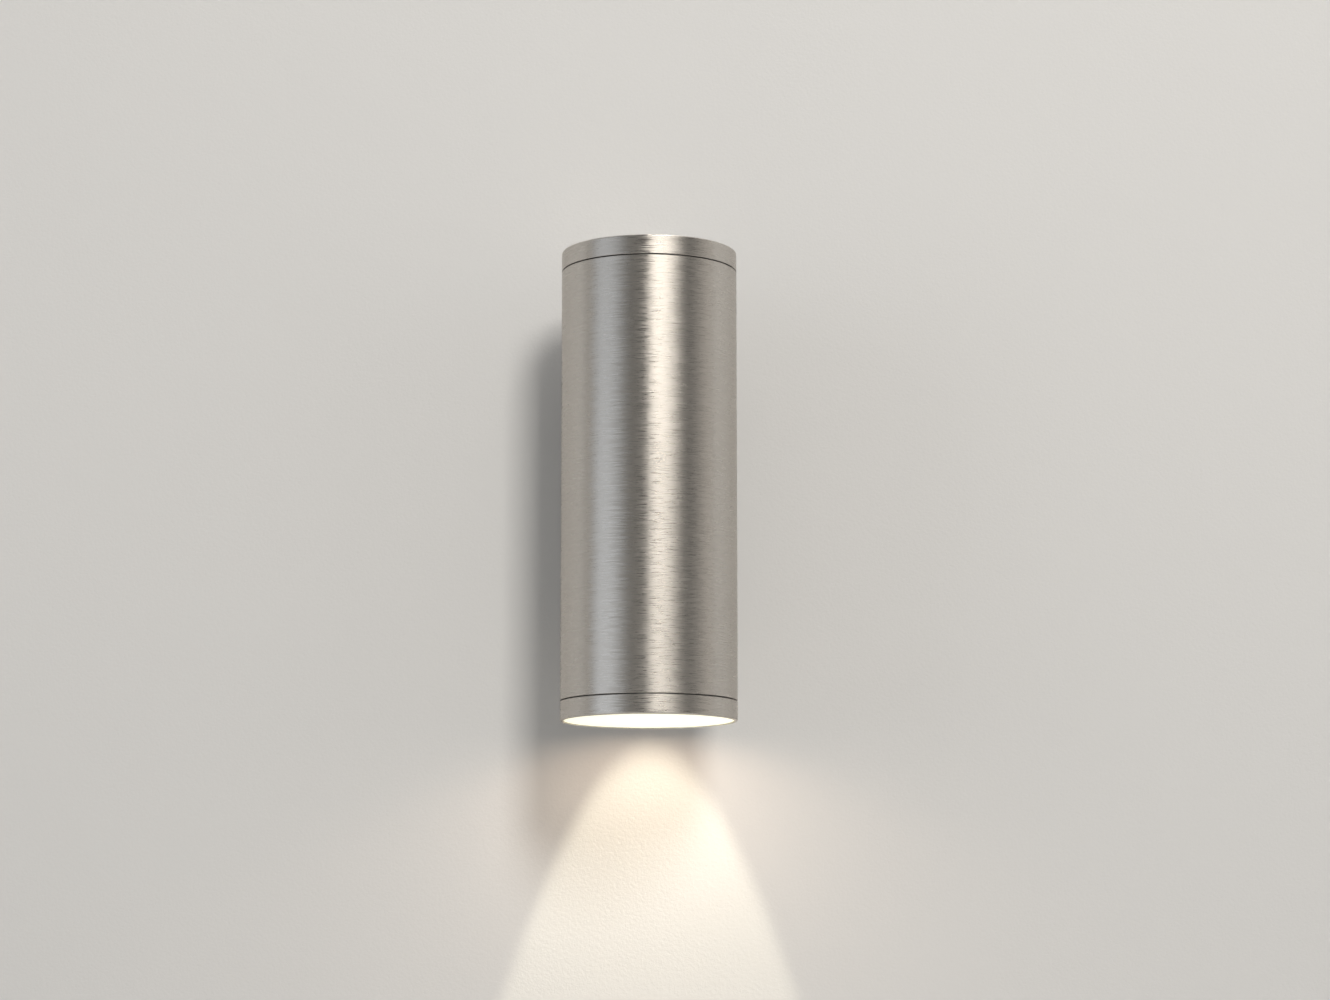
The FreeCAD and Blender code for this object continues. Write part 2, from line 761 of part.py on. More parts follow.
def make_holder_contacts():
    """A spring leaf over each pin's head, with a tail up to the lead."""
    contacts = new_piece("holder_contacts", True)
    half = "contact_width / 2"
    middle = "pin_spacing / 2"
    reach = "lead_radius + contact_thickness + holder_clearance"
    leaves, tails = [], []
    for sign in ("", "-"):
        left = "%s%s - %s" % (sign, middle, half)
        right = "%s%s + %s" % (sign, middle, half)
        leaves.append(rectangle(left, "-(%s)" % reach, right, reach))
        tails.append(rectangle(left, "%s - contact_thickness" % reach, right, reach))
    extrude(contacts, polygons(contacts, "XY_Plane", leaves, "contact_z"), "contact_thickness")
    extrude(contacts, polygons(contacts, "XY_Plane", tails, "contact_z"),
            "holder_roof_z - contact_z")


def make_lamp_carrier():
    carrier = new_piece("lamp_carrier", True)
    back = polygons(carrier, "YZ_Plane", [
        rectangle("carrier_inner", "shelf_under_z", "carrier_outer", "carrier_top_z")])
    revolve(carrier, back, "carrier_angle")
    ring(carrier, "0", "shelf_radius", "shelf_under_z", "shelf_top_z")
    tab = rectangle("-shelf_tab_width / 2", "shelf_radius - 2 * carrier_thickness",
                    "shelf_tab_width / 2", "carrier_inner + shelf_tab_sink")
    extrude(carrier, polygons(carrier, "XY_Plane", [tab], "shelf_under_z"), "carrier_thickness")
    pierce_for_saddle(carrier)
    screw_hole = "small_screw_radius + bond_gap"
    lead_hole = "lead_radius + 2 * screw_fit"
    spots = [("pin_spacing / 2", "0", lead_hole), ("-pin_spacing / 2", "0", lead_hole)]
    for side in ("", "-"):
        spots.append((side + "holder_screw_spacing / 2", "0", screw_hole))
    spots.append(("0", "-earth_screw_offset", screw_hole))
    extrude(carrier, circles(carrier, "XY_Plane", spots, "shelf_top_z"),
            "carrier_thickness", cut=True)

    nuts = new_piece("carrier_nuts", True)
    face = "nut_seat_gap - carrier_inner"
    weld_nuts(nuts, "XZ_Plane", ("saddle_screw_low", "saddle_screw_high"), face)


def weld_nuts(nuts, role, heights, face):
    outlines = [hexagon("0", height, "nut_across_flats") for height in heights]
    extrude(nuts, polygons(nuts, role, outlines, face), "nut_height")
    bores = [("0", height, "side_screw_radius + bond_gap") for height in heights]
    extrude(nuts, circles(nuts, role, bores, face), "nut_height", cut=True, flip=True)


def make_earth_point():
    """The ring terminal on the shelf, with the barrel that grips the earth lead, and its screw."""
    tag = new_piece("earth_tag", True)
    place = "-earth_screw_offset"
    tag_radius = "small_head_radius + screw_fit"
    disc = circles(tag, "XY_Plane", [("0", place, tag_radius)], "shelf_top_z")
    extrude(tag, disc, "tag_thickness")
    tongue = rectangle("-lead_radius", place, "lead_radius", place + " + 2 * (%s)" % tag_radius)
    extrude(tag, polygons(tag, "XY_Plane", [tongue], "shelf_top_z"), "tag_thickness")
    grip = "lead_radius + contact_thickness"
    start = "earth_screw_offset - (%s)" % tag_radius
    barrel = circles(tag, "XZ_Plane", [("0", "shelf_top_z + " + grip, grip)], start)
    extrude(tag, barrel, "lead_grip", flip=True)
    hole = circles(tag, "XY_Plane", [("0", place, "small_screw_radius + screw_fit")],
                   "shelf_top_z")
    extrude(tag, hole, "tag_thickness", cut=True, flip=True)

    screw = new_piece("earth_screw", True)
    seat = "shelf_top_z + tag_thickness"
    shank = circles(screw, "XY_Plane", [("0", place, "small_screw_radius")], seat)
    extrude(screw, shank, "earth_screw_length", flip=True)
    head = circles(screw, "XY_Plane", [("0", place, "small_head_radius")], seat)
    extrude(screw, head, "small_head_height")
    cut = rectangle("-small_head_radius", place + " - slot_cut_width / 2",
                    "small_head_radius", place + " + slot_cut_width / 2")
    top = seat + " + small_head_height"
    extrude(screw, polygons(screw, "XY_Plane", [cut], top), "slot_cut_depth", cut=True)


# ---- the mounting box ---------------------------------------------------------------------------

def rounded_block(piece, half_width, half_height, corner, near, far):
    """A block with round upright corners, from one depth to another in front of the sketch."""
    outline = rectangle("-(%s)" % half_width, "-(%s)" % half_height, half_width, half_height)
    extrude(piece, polygons(piece, "XZ_Plane", [outline], near), "(%s) - (%s)" % (far, near))
    round_edges(piece, corner, straight_edges(1, [at(0, half_width), at(2, half_height)]))


def clear_inside(piece, radius):
    """Cuts away everything within a radius of the piece's upright axis."""
    extrude(piece, circles(piece, "XY_Plane", [("0", "0", radius)]), "2 * box_height",
            cut=True, both=True)


def make_mounting_box():
    """A deep box, open to the wall and closed in front by a curved web that is a saddle for the
    tube. It is drawn on the tube's axis, so its depths are measured from that axis."""
    box = new_body("box_block", True)
    rim = "wall_gasket_thickness - axis_standoff"
    rounded_block(box, "box_half_width", "box_half_height", "box_corner", rim, "0")
    clear_inside(box, "saddle_radius")
    pierce_for_saddle(box)
    side = circles(box, "YZ_Plane", [
        ("axis_standoff - ear_hole_depth", "0", "side_screw_radius + screw_fit")])
    extrude(box, side, "2 * box_width", cut=True, both=True)

    cavity = new_body("box_cavity", True)
    rounded_block(cavity, "cavity_half_width", "cavity_half_height", "box_corner - box_wall",
                  rim, "0")
    clear_inside(cavity, "web_radius")
    hollow = doc.addObject("Part::Cut", "mounting_box")
    hollow.Label = "mounting_box"
    hollow.Base = box
    hollow.Tool = cavity
    pieces.append(hollow)


def make_gaskets():
    wall_gasket = new_piece("wall_gasket")
    rounded_block(wall_gasket, "box_half_width", "box_half_height", "box_corner",
                  "0", "wall_gasket_thickness")
    opening = rectangle("-cavity_half_width", "-cavity_half_height",
                        "cavity_half_width", "cavity_half_height")
    extrude(wall_gasket, polygons(wall_gasket, "XZ_Plane", [opening]), "wall_gasket_thickness",
            cut=True, flip=True)
    round_edges(wall_gasket, "box_corner - box_wall",
                straight_edges(1, [at(0, "cavity_half_width"), at(2, "cavity_half_height")]))

    saddle_gasket = new_piece("saddle_gasket", True)
    rounded_block(saddle_gasket, "box_half_width - saddle_gasket_margin",
                  "box_half_height - saddle_gasket_margin", "box_corner - saddle_gasket_margin",
                  "-web_radius", "0")
    clear_inside(saddle_gasket, "tube_radius + bond_gap")
    beyond = circles(saddle_gasket, "XY_Plane", [
        ("0", "0", "saddle_radius - bond_gap"), ("0", "0", "2 * web_radius")])
    extrude(saddle_gasket, beyond, "2 * box_height", cut=True, both=True)
    pierce_for_saddle(saddle_gasket)


def make_lead_grommet():
    grommet = new_piece("lead_grommet")
    depth = "axis_standoff - carrier_inner - web_depth"
    barrel = circles(grommet, "XZ_Plane", [("0", "lead_hole_height", "grommet_radius")],
                     "web_depth")
    extrude(grommet, barrel, depth)
    flange = circles(grommet, "XZ_Plane", [("0", "lead_hole_height", "grommet_flange_radius")],
                     "web_depth")
    extrude(grommet, flange, "grommet_flange_thickness", flip=True)
    bore = circles(grommet, "XZ_Plane", [("0", "lead_hole_height", "grommet_bore")],
                   "web_depth - grommet_flange_thickness")
    extrude(grommet, bore, "%s + grommet_flange_thickness" % depth, cut=True, flip=True)


def make_saddle_screws():
    screws = new_piece("saddle_screws")
    heights = ("saddle_screw_low", "saddle_screw_high")
    heads = circles(screws, "XZ_Plane", [("0", z, "saddle_head_radius") for z in heights],
                    "web_depth")
    extrude(screws, heads, "saddle_head_height", flip=True)
    shanks = circles(screws, "XZ_Plane", [("0", z, "side_screw_radius") for z in heights],
                     "web_depth")
    extrude(screws, shanks, "saddle_screw_length")
    sockets = polygons(screws, "XZ_Plane",
                       [hexagon("0", z, "socket_across_flats") for z in heights],
                       "web_depth - saddle_head_height")
    extrude(screws, sockets, "socket_depth", cut=True, flip=True)


def make_side_fasteners():
    """Washer and button screw on each side of the box, into nuts welded inside the ears."""
    depth = "-ear_hole_depth"
    screws = new_piece("side_screws")
    seat = "box_half_width + washer_thickness"
    head = extrude(screws, circles(screws, "YZ_Plane", [(depth, "0", "side_head_radius")], seat),
                   "side_head_height")
    shank = extrude(screws, circles(screws, "YZ_Plane", [(depth, "0", "side_screw_radius")], seat),
                    "side_screw_length", flip=True)
    socket = extrude(screws, polygons(
        screws, "YZ_Plane", [hexagon(depth, "0", "socket_across_flats")],
        seat + " + side_head_height"), "socket_depth", cut=True)
    mirror(screws, [head, shank, socket], "YZ_Plane")

    washers = new_piece("side_washers")
    face = "box_half_width"
    disc = extrude(washers, circles(washers, "YZ_Plane", [(depth, "0", "washer_radius")], face),
                   "washer_thickness")
    hole = extrude(washers, circles(
        washers, "YZ_Plane", [(depth, "0", "side_screw_radius + screw_fit")], face),
        "washer_thickness", cut=True, flip=True)
    mirror(washers, [disc, hole], "YZ_Plane")

    nuts = new_piece("plate_nuts")
    start = "ear_inner - nut_height"
    block = extrude(nuts, polygons(
        nuts, "YZ_Plane", [hexagon(depth, "0", "nut_across_flats")], start), "nut_height")
    bore = extrude(nuts, circles(
        nuts, "YZ_Plane", [(depth, "0", "side_screw_radius + bond_gap")], start),
        "nut_height", cut=True, flip=True)
    mirror(nuts, [block, bore], "YZ_Plane")


# ---- the wall plate -----------------------------------------------------------------------------

def make_wall_plate():
    plate = new_piece("wall_plate")
    sheet = rectangle("-plate_half_width", "-plate_half_height",
                      "plate_half_width", "plate_half_height")
    extrude(plate, polygons(plate, "XZ_Plane", [sheet]), "plate_thickness")
    round_edges(plate, "plate_corner",
                straight_edges(1, [at(0, "plate_half_width"), at(2, "plate_half_height")]))
    ears = [
        rectangle(inner, "-ear_height / 2", outer, "ear_height / 2")
        for inner, outer in (("ear_inner", "plate_half_width"), ("-plate_half_width", "-ear_inner"))
    ]
    extrude(plate, polygons(plate, "XZ_Plane", ears), "ear_depth")
    round_edges(plate, "plate_corner - plate_thickness",
                straight_edges(0, [at(1, "ear_depth"), at(2, "ear_height / 2")]))
    ear_hole = circles(plate, "YZ_Plane", [
        ("-ear_hole_depth", "0", "side_screw_radius + screw_fit")])
    extrude(plate, ear_hole, "2 * box_width", cut=True, both=True)
    # the slots: straight sides first, then the round ends
    straight = "slot_length / 2 - slot_width / 2"
    sides, ends = [], []
    for sign in ("", "-"):
        middle = sign + "slot_spacing / 2"
        sides.append(rectangle("-slot_width / 2", "%s - (%s)" % (middle, straight),
                               "slot_width / 2", "%s + %s" % (middle, straight)))
        ends.append(("0", "%s - (%s)" % (middle, straight), "slot_width / 2"))
        ends.append(("0", "%s + %s" % (middle, straight), "slot_width / 2"))
    extrude(plate, polygons(plate, "XZ_Plane", sides), "plate_thickness", cut=True, flip=True)
    extrude(plate, circles(plate, "XZ_Plane", ends), "plate_thickness", cut=True, flip=True)
    holes = circles(plate, "XZ_Plane", [
        ("0", "0", "bush_radius + bond_gap"),
        ("terminal_pitch / 2", "terminal_middle", "small_screw_radius + bond_gap"),
    ])
    extrude(plate, holes, "plate_thickness", cut=True, flip=True)

    bush = new_piece("cable_bush")
    extrude(bush, circles(bush, "XZ_Plane", [("0", "0", "bush_radius")]), "plate_thickness")
    extrude(bush, circles(bush, "XZ_Plane", [("0", "0", "bush_flange_radius")], "plate_thickness"),
            "bush_flange_thickness")
    extrude(bush, circles(bush, "XZ_Plane", [("0", "0", "bush_bore")]),
            "plate_thickness + bush_flange_thickness", cut=True, flip=True)


POLES = ("-terminal_pitch", "0", "terminal_pitch")
CLAMP_SCREW_HEIGHTS = ("terminal_middle - clamp_screw_spacing / 2",
                       "terminal_middle + clamp_screw_spacing / 2")


def make_terminal_block():
    block = new_piece("terminal_block")
    body = rectangle("-terminal_half_length", "terminal_low_z",
                     "terminal_half_length", "terminal_low_z + terminal_height")
    extrude(block, polygons(block, "XZ_Plane", [body], "plate_thickness"), "terminal_depth")
    clamp_holes = circles(block, "XY_Plane", [
        (x, "-clamp_depth", "clamp_radius + bond_gap") for x in POLES], "terminal_low_z")
    extrude(block, clamp_holes, "terminal_height", cut=True, flip=True)
    access = circles(block, "XZ_Plane", [
        (x, z, "clamp_screw_radius + screw_fit") for x in POLES for z in CLAMP_SCREW_HEIGHTS],
        "clamp_depth")
    extrude(block, access, "terminal_front - clamp_depth", cut=True, flip=True)
    fixing_place = ("terminal_pitch / 2", "terminal_middle")
    fixing = circles(block, "XZ_Plane",
                     [(*fixing_place, "fixing_hole")], "plate_thickness")
    extrude(block, fixing, "terminal_depth", cut=True, flip=True)

    clamps = new_piece("terminal_clamps")
    foot = "terminal_middle - clamp_length / 2"
    extrude(clamps, circles(clamps, "XY_Plane", [(x, "-clamp_depth", "clamp_radius")
                                                 for x in POLES], foot), "clamp_length")
    extrude(clamps, circles(clamps, "XY_Plane", [(x, "-clamp_depth", "clamp_bore")
                                                 for x in POLES], foot),
            "clamp_length", cut=True, flip=True)
    taps = circles(clamps, "XZ_Plane", [
        (x, z, "clamp_screw_radius + bond_gap") for x in POLES for z in CLAMP_SCREW_HEIGHTS],
        "clamp_depth")
    extrude(clamps, taps, "clamp_radius", cut=True, flip=True)

    screws = new_piece("terminal_screws")
    rounds = [(x, z, "clamp_screw_radius") for x in POLES for z in CLAMP_SCREW_HEIGHTS]
    start = "clamp_depth + lead_radius + bond_gap"
    head = "terminal_front - slot_cut_depth"
    extrude(screws, circles(screws, "XZ_Plane", rounds, start), "%s - (%s)" % (head, start))
    cuts = [
        rectangle("%s - clamp_screw_radius" % x, "%s - slot_cut_width / 2" % z,
                  "%s + clamp_screw_radius" % x, "%s + slot_cut_width / 2" % z)
        for x in POLES for z in CLAMP_SCREW_HEIGHTS
    ]
    extrude(screws, polygons(screws, "XZ_Plane", cuts, head), "slot_cut_depth", cut=True)

    fixing_screw = new_piece("terminal_fixing_screw")
    shank = circles(fixing_screw, "XZ_Plane", [(*fixing_place, "small_screw_radius")], "bond_gap")
    extrude(fixing_screw, shank, "terminal_front - bond_gap")
    cap = circles(fixing_screw, "XZ_Plane", [(*fixing_place, "small_head_radius")],
                  "terminal_front")
    extrude(fixing_screw, cap, "small_head_height")
    cut = rectangle("terminal_pitch / 2 - small_head_radius",
                    "terminal_middle - slot_cut_width / 2",
                    "terminal_pitch / 2 + small_head_radius",
                    "terminal_middle + slot_cut_width / 2")
    extrude(fixing_screw, polygons(fixing_screw, "XZ_Plane", [cut],
                                   "terminal_front + small_head_height"),
            "slot_cut_depth", cut=True)


# ---- the internal leads -------------------------------------------------------------------------

def lead_path(points):
    """Straight runs joined by tangent arcs, each arc as large as its two runs allow."""
    edges = []
    here = points[0]
    for before, corner, after in zip(points, points[1:], points[2:]):
        arriving = (corner - before).normalize()
        leaving = (after - corner).normalize()
        half_turn = arriving.getAngle(leaving) / 2
        reach = BEND_SHARE * min(corner.distanceToPoint(before), corner.distanceToPoint(after))
        start = corner - arriving * reach
        end = corner + leaving * reach
        radius = reach / math.tan(half_turn)
        inward = (leaving - arriving).normalize()
        centre = corner + inward * (reach / math.sin(half_turn))
        middle = centre - inward * radius
        edges.append(Part.LineSegment(here, start).toShape())
        edges.append(Part.Arc(start, middle, end).toShape())
        print("  bend radius %.1f" % radius)
        here = end
    edges.append(Part.LineSegment(here, points[-1]).toShape())
    return Part.Wire(edges)


def make_lead(name, route):
    """An insulated lead along a route of places, each three formulas in the light's own frame."""
    points = [FreeCAD.Vector(*[value(text) for text in place]) for place in route]
    path = lead_path(points)
    radius = value("lead_radius")
    outline = Part.Wire(Part.makeCircle(radius, points[0], points[1] - points[0]))
    solid = path.makePipeShell([outline], True, False)
    expected = math.pi * radius ** 2 * path.Length
    print("%s: length %.1f, volume over section times length %.4f"
          % (name, path.Length, solid.Volume / expected))
    lead = doc.addObject("Part::Feature", name)
    lead.Label = name
    lead.Shape = solid
    pieces.append(lead)


def make_leads():
    """From the terminals down to the grommet, through the tube's back and on to their ends."""
    clamped = "terminal_middle"
    below = "terminal_low_z - lead_drop"
    turn_depth = "-clamp_depth - lead_turn"
    holder_end = "holder_roof_z - lead_grip / 2"
    for name, side in (("live_lead", "-"), ("neutral_lead", "")):
        pole = side + "terminal_pitch"
        passing = side + "lead_spacing"
        pin = side + "pin_spacing / 2"
        make_lead(name, [
            (pole, "-clamp_depth", clamped),
            (pole, "-clamp_depth", below),
            (passing, turn_depth, "lead_hole_height"),
            (passing, "carrier_inner - axis_standoff - lead_reach", "lead_hole_height"),
            (pin, "-axis_standoff", "lead_hole_height - lead_dip"),
            (pin, "-axis_standoff", holder_end),
        ])
    tag_end = "earth_screw_offset - small_head_radius - screw_fit - lead_grip"
    lying = "shelf_top_z + lead_radius + contact_thickness"
    make_lead("earth_lead", [
        ("0", "-clamp_depth", clamped),
        ("0", "-clamp_depth", below),
        ("0", turn_depth, "lead_hole_height"),
        ("0", "carrier_inner - axis_standoff - earth_lead_reach", "lead_hole_height"),
        ("0", "earth_lead_turn - axis_standoff", lying),
        ("0", "-axis_standoff - (%s)" % tag_end, lying),
    ])


# ---- build, check and write ---------------------------------------------------------------------

make_tube_body()
make_top_cap()
make_thread_collar()
make_bezel()
make_lens()
make_lamp()
make_lampholder()
make_holder_contacts()
make_lamp_carrier()
make_earth_point()
make_mounting_box()
make_gaskets()
make_lead_grommet()
make_saddle_screws()
make_side_fasteners()
make_wall_plate()
make_terminal_block()
make_leads()

doc.recompute()
for thing in doc.Objects:
    if "Invalid" in thing.State or "Error" in thing.State:
        raise RuntimeError("%s failed: %s" % (thing.Label, thing.State))
for piece in pieces:
    if piece.Shape.isNull() or not piece.Shape.isValid():
        raise RuntimeError("%s has no valid shape" % piece.Label)

os.makedirs("parts", exist_ok=True)
for piece in pieces:
    piece.Shape.exportStep("parts/%s.step" % piece.Label)
    box = piece.Shape.BoundBox
    print("%-22s solids %d  volume %9.1f  x %6.1f %6.1f  y %6.1f %6.1f  z %6.1f %6.1f" % (
        piece.Label, len(piece.Shape.Solids), piece.Shape.Volume,
        box.XMin, box.XMax, box.YMin, box.YMax, box.ZMin, box.ZMax))
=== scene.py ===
import json
import math

import bmesh
import bpy
from mathutils import Matrix, Vector


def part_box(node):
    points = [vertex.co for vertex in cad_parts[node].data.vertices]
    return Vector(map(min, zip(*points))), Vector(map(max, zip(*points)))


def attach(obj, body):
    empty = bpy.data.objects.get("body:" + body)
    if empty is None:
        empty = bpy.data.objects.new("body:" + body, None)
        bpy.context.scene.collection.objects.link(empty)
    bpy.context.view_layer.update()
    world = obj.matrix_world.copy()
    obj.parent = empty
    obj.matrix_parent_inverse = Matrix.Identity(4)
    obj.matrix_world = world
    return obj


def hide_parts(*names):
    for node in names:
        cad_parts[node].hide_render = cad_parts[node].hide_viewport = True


# A tube wall light, lit, on a pale wall. Metres. +Z is up, the wall is the plane y = 0 and the
# light stands out along -Y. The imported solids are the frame, and this script dresses them.

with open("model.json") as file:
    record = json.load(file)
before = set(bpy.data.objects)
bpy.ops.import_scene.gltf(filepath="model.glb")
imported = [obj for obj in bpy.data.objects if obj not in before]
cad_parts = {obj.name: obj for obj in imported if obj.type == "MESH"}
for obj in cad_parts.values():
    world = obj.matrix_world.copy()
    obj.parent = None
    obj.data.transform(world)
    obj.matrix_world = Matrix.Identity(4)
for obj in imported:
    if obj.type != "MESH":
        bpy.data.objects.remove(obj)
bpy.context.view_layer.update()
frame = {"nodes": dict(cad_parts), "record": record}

tube_low, tube_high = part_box("tube_body")
TUBE_AXIS = Vector(((tube_low.x + tube_high.x) / 2, (tube_low.y + tube_high.y) / 2, 0))
TUBE_RADIUS = (tube_high.x - tube_low.x) / 2

node_slots = {part["node"]: part["material_slot"] for part in frame["record"]["subparts"]}

# Sizes of the small pieces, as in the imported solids.
SIDE_SCREW_RADIUS = 0.0020
SIDE_SCREW_LENGTH = 0.0098
SOCKET_WIDTH = 0.0025
SOCKET_DEPTH = 0.0013
BOX_CORNER = 0.010
BOX_WALL = 0.003
PLATE_CORNER = 0.005
PLATE_THICKNESS = 0.0015
SLOT_SPACING = 0.060
SLOT_LENGTH = 0.016
SLOT_WIDTH = 0.005
EAR_HEIGHT = 0.016
EAR_HOLE_DEPTH = 0.009
BUSH_BORE = 0.005
BUSH_NECK = 0.008
TERMINAL_SCREW_PLACE = (0.00475, 0.0505)
LAMP_RIM_HEIGHT = 0.014
LAMP_NECK = 0.013
LAMP_SLOTS = 36

# How far edges are rounded, and the small forms that only the render shows.
LENS_RIM_ROUND = 0.0005
SCREW_DOME_ROUND = 0.00155
SCREW_EDGE_ROUND = 0.00015
SCREW_STEPS = 48
SOCKET_MOUTH = 0.72 * SOCKET_WIDTH
WASHER_HOLE = SIDE_SCREW_RADIUS + 0.0002
WASHER_ROUND = 0.00025
FOAM_BULGE = 0.0007
PLATE_EDGE_ROUND = 0.0003
EAR_EDGE_ROUND = 0.00025
TERMINAL_SCREW_HOLE = 0.00155
BUSH_LIP_ROUND = 0.0005
LAMP_BOARD_GAP = 0.0001
LAMP_WALL = 0.002
LAMP_LEDGE = 0.0025
LAMP_SLOT_INSET = 0.00055
LAMP_SLOT_DEPTH = 0.0009
LAMP_EDGE_ROUND = 0.0002

# The camera, as the photograph was taken: its place, how far it looks up and its lens.
CAMERA_PLACE = (0.0069, -1.442, -0.2215)
CAMERA_PITCH = 8.86
CAMERA_LENS = 87.7

# The studio: a wall close behind the light, a floor far below, and a grey surround that only
# the metal sees, which gives it its darker stretches.
WALL_GAP = 0.0005
WALL_HALF_WIDTH = 3.2
WALL_TOP = 2.6
WALL_OPENING_INSET = 0.0025
FLOOR_HEIGHT = -1.0
FLOOR_HALF_WIDTH = 40.0
FLOOR_GLOW = 0.45
SURROUND_RADIUS = 2.9
SURROUND_TOP = 4.4

# Colours, as seen in plain light.
WALL_PAINT = (0.69, 0.69, 0.68)
FLOOR_PAINT = (0.62, 0.60, 0.57)
PALE_ROOM = (0.80, 0.79, 0.77)
SOFT_ROOM = (0.28, 0.278, 0.28)
SURROUND_GREY = (0.158, 0.154, 0.146)
SURROUND_PALE = (0.62, 0.585, 0.54)
SURROUND_WINDOW = (1.32, 1.40, 1.50)
SURROUND_KEY = (13.4, 12.7, 11.7)
KEY_LIGHT = (1.0, 0.96, 0.91)
WINDOW_LIGHT = (0.97, 0.99, 1.0)
BEAM_LIGHT = (1.0, 0.913, 0.71)
SPILL_LIGHT = (1.0, 0.725, 0.535)

# Soft studio lamps: name, azimuth, elevation, width, height, power and colour.
SOFTBOX_DISTANCE = 2.0
SOFTBOXES = [("key_softbox", 14.6, 29.5, 0.40, 0.60, 24.8, KEY_LIGHT),
             ("left_window", -62, 8, 1.1, 1.5, 5.5, WINDOW_LIGHT),
             ("right_window", 64, 8, 1.1, 1.5, 3.5, WINDOW_LIGHT)]

# The lamp's light on the wall: name, height of its source above the lens, half angle in
# degrees, softness of its edge, power and colour.
BEAMS = [("beam", 0.233, 15.04, 0.149, 6.66, BEAM_LIGHT),
         ("spill", 0.0264, 70.0, 0.274, 0.0665, SPILL_LIGHT)]
LENS_GLOW = 0.039


# ---- finishes -----------------------------------------------------------------------------------

class Finish:
    """A material under construction: its shader and the nodes that feed it."""

    def __init__(self, name):
        self.material = bpy.data.materials.new(name)
        self.material.use_nodes = True
        self.tree = self.material.node_tree
        self.tree.nodes.clear()
        self.shader = self.node("BsdfPrincipled")
        self.output = self.node("OutputMaterial")
        self.link(self.shader.outputs["BSDF"], self.output.inputs["Surface"])
        self.place = self.node("TexCoord").outputs["Object"]
        self.soft_normal = None

    def node(self, kind, **settings):
        """Adds a shader node with its settings."""
        made = self.tree.nodes.new("ShaderNode" + kind)
        for name, setting in settings.items():
            setattr(made, name, setting)
        return made

    def link(self, output, target):
        self.tree.links.new(output, target)

    def feed(self, target, source):
        """Links an output to a socket, or sets a plain value there."""
        if isinstance(source, bpy.types.NodeSocket):
            self.link(source, target)
        else:
            target.default_value = source

    def set(self, **values):
        """Sets or feeds shader sockets, named with underscores for spaces."""
        for name, source in values.items():
            self.feed(self.shader.inputs[name.replace("_", " ")], source)

    def math(self, operation, a, b=0.0):
        """One sum on two numbers or outputs."""
        made = self.node("Math", operation=operation)
        self.feed(made.inputs[0], a)
        self.feed(made.inputs[1], b)
        return made.outputs[0]

    def vector(self, operation, a, b=(0.0, 0.0, 0.0), scale=None):
        """One sum on vectors, or a vector scaled by a number."""
        made = self.node("VectorMath", operation=operation)
        self.feed(made.inputs[0], a)
        if scale is None:
            self.feed(made.inputs[1], b)
        else:
            self.feed(made.inputs["Scale"], scale)
        return made.outputs[0]

    def stretched(self, scales, centre=(0.0, 0.0, 0.0)):
        """Object coordinates about a centre, scaled along each axis."""
        made = self.node("Mapping")
        made.inputs["Location"].default_value = [-c * s for c, s in zip(centre, scales)]
        made.inputs["Scale"].default_value = scales
        self.link(self.place, made.inputs["Vector"])
        return made.outputs["Vector"]

    def noise(self, place, scale=1.0, detail=2.0, roughness=0.5):
        """A cloudy pattern of values round one half."""
        made = self.node("TexNoise")
        self.link(place, made.inputs["Vector"])
        made.inputs["Scale"].default_value = scale
        made.inputs["Detail"].default_value = detail
        made.inputs["Roughness"].default_value = roughness
        return made.outputs[0]

    def spread(self, source, low, high, from_low=0.3, from_high=0.7):
        """Maps the middle of a pattern's range on to another range."""
        made = self.node("MapRange")
        self.link(source, made.inputs["Value"])
        made.inputs["From Min"].default_value = from_low
        made.inputs["From Max"].default_value = from_high
        made.inputs["To Min"].default_value = low
        made.inputs["To Max"].default_value = high
        return made.outputs["Result"]

    def slope(self, angle, start, end):
        """Rises smoothly from 0 to 1 between two angles, in degrees."""
        made = self.node("MapRange", interpolation_type="SMOOTHSTEP")
        self.link(angle, made.inputs["Value"])
        made.inputs["From Min"].default_value = math.radians(start)
        made.inputs["From Max"].default_value = math.radians(end)
        return made.outputs["Result"]

    def worn_edges(self, radius):
        """Softens the shading of sharp edges, and returns 1 on them and 0 on the flats."""
        soft = self.node("Bevel", samples=4)
        soft.inputs["Radius"].default_value = radius
        flat = self.node("NewGeometry").outputs["Normal"]
        likeness = self.node("VectorMath", operation="DOT_PRODUCT")
        self.link(soft.outputs["Normal"], likeness.inputs[0])
        self.link(flat, likeness.inputs[1])
        self.soft_normal = soft.outputs["Normal"]
        return self.spread(likeness.outputs["Value"], 1.0, 0.0, 0.90, 0.995)

    def outside_joint_shadow(self):
        """0 in the joints between the tube and its ends, where a dark shadow line is painted, and 1
        elsewhere.
        """
        parts = self.node("SeparateXYZ")
        self.link(self.place, parts.inputs[0])
        height = self.math("ABSOLUTE", parts.outputs[2])
        away = self.math("ABSOLUTE", self.math("SUBTRACT", height, JOINT_HEIGHT))
        return self.spread(away, 0.0, 1.0, JOINT_SHADE * 0.6, JOINT_SHADE)

    def between(self, dark, light, pattern):
        """A colour that a pattern takes from a dark one to a light one."""
        made = self.node("Mix", data_type="RGBA")
        self.link(pattern, made.inputs[0])
        self.feed(made.inputs[6], (*dark, 1.0) if isinstance(dark, tuple) else dark)
        self.feed(made.inputs[7], (*light, 1.0) if isinstance(light, tuple) else light)
        return made.outputs[2]

    def bump(self, height, depth, strength=1.0):
        """A surface normal raised by a pattern, to a depth in metres."""
        made = self.node("Bump")
        made.inputs["Strength"].default_value = strength
        made.inputs["Distance"].default_value = depth
        self.link(height, made.inputs["Height"])
        if self.soft_normal:
            self.link(self.soft_normal, made.inputs["Normal"])
        return made.outputs["Normal"]


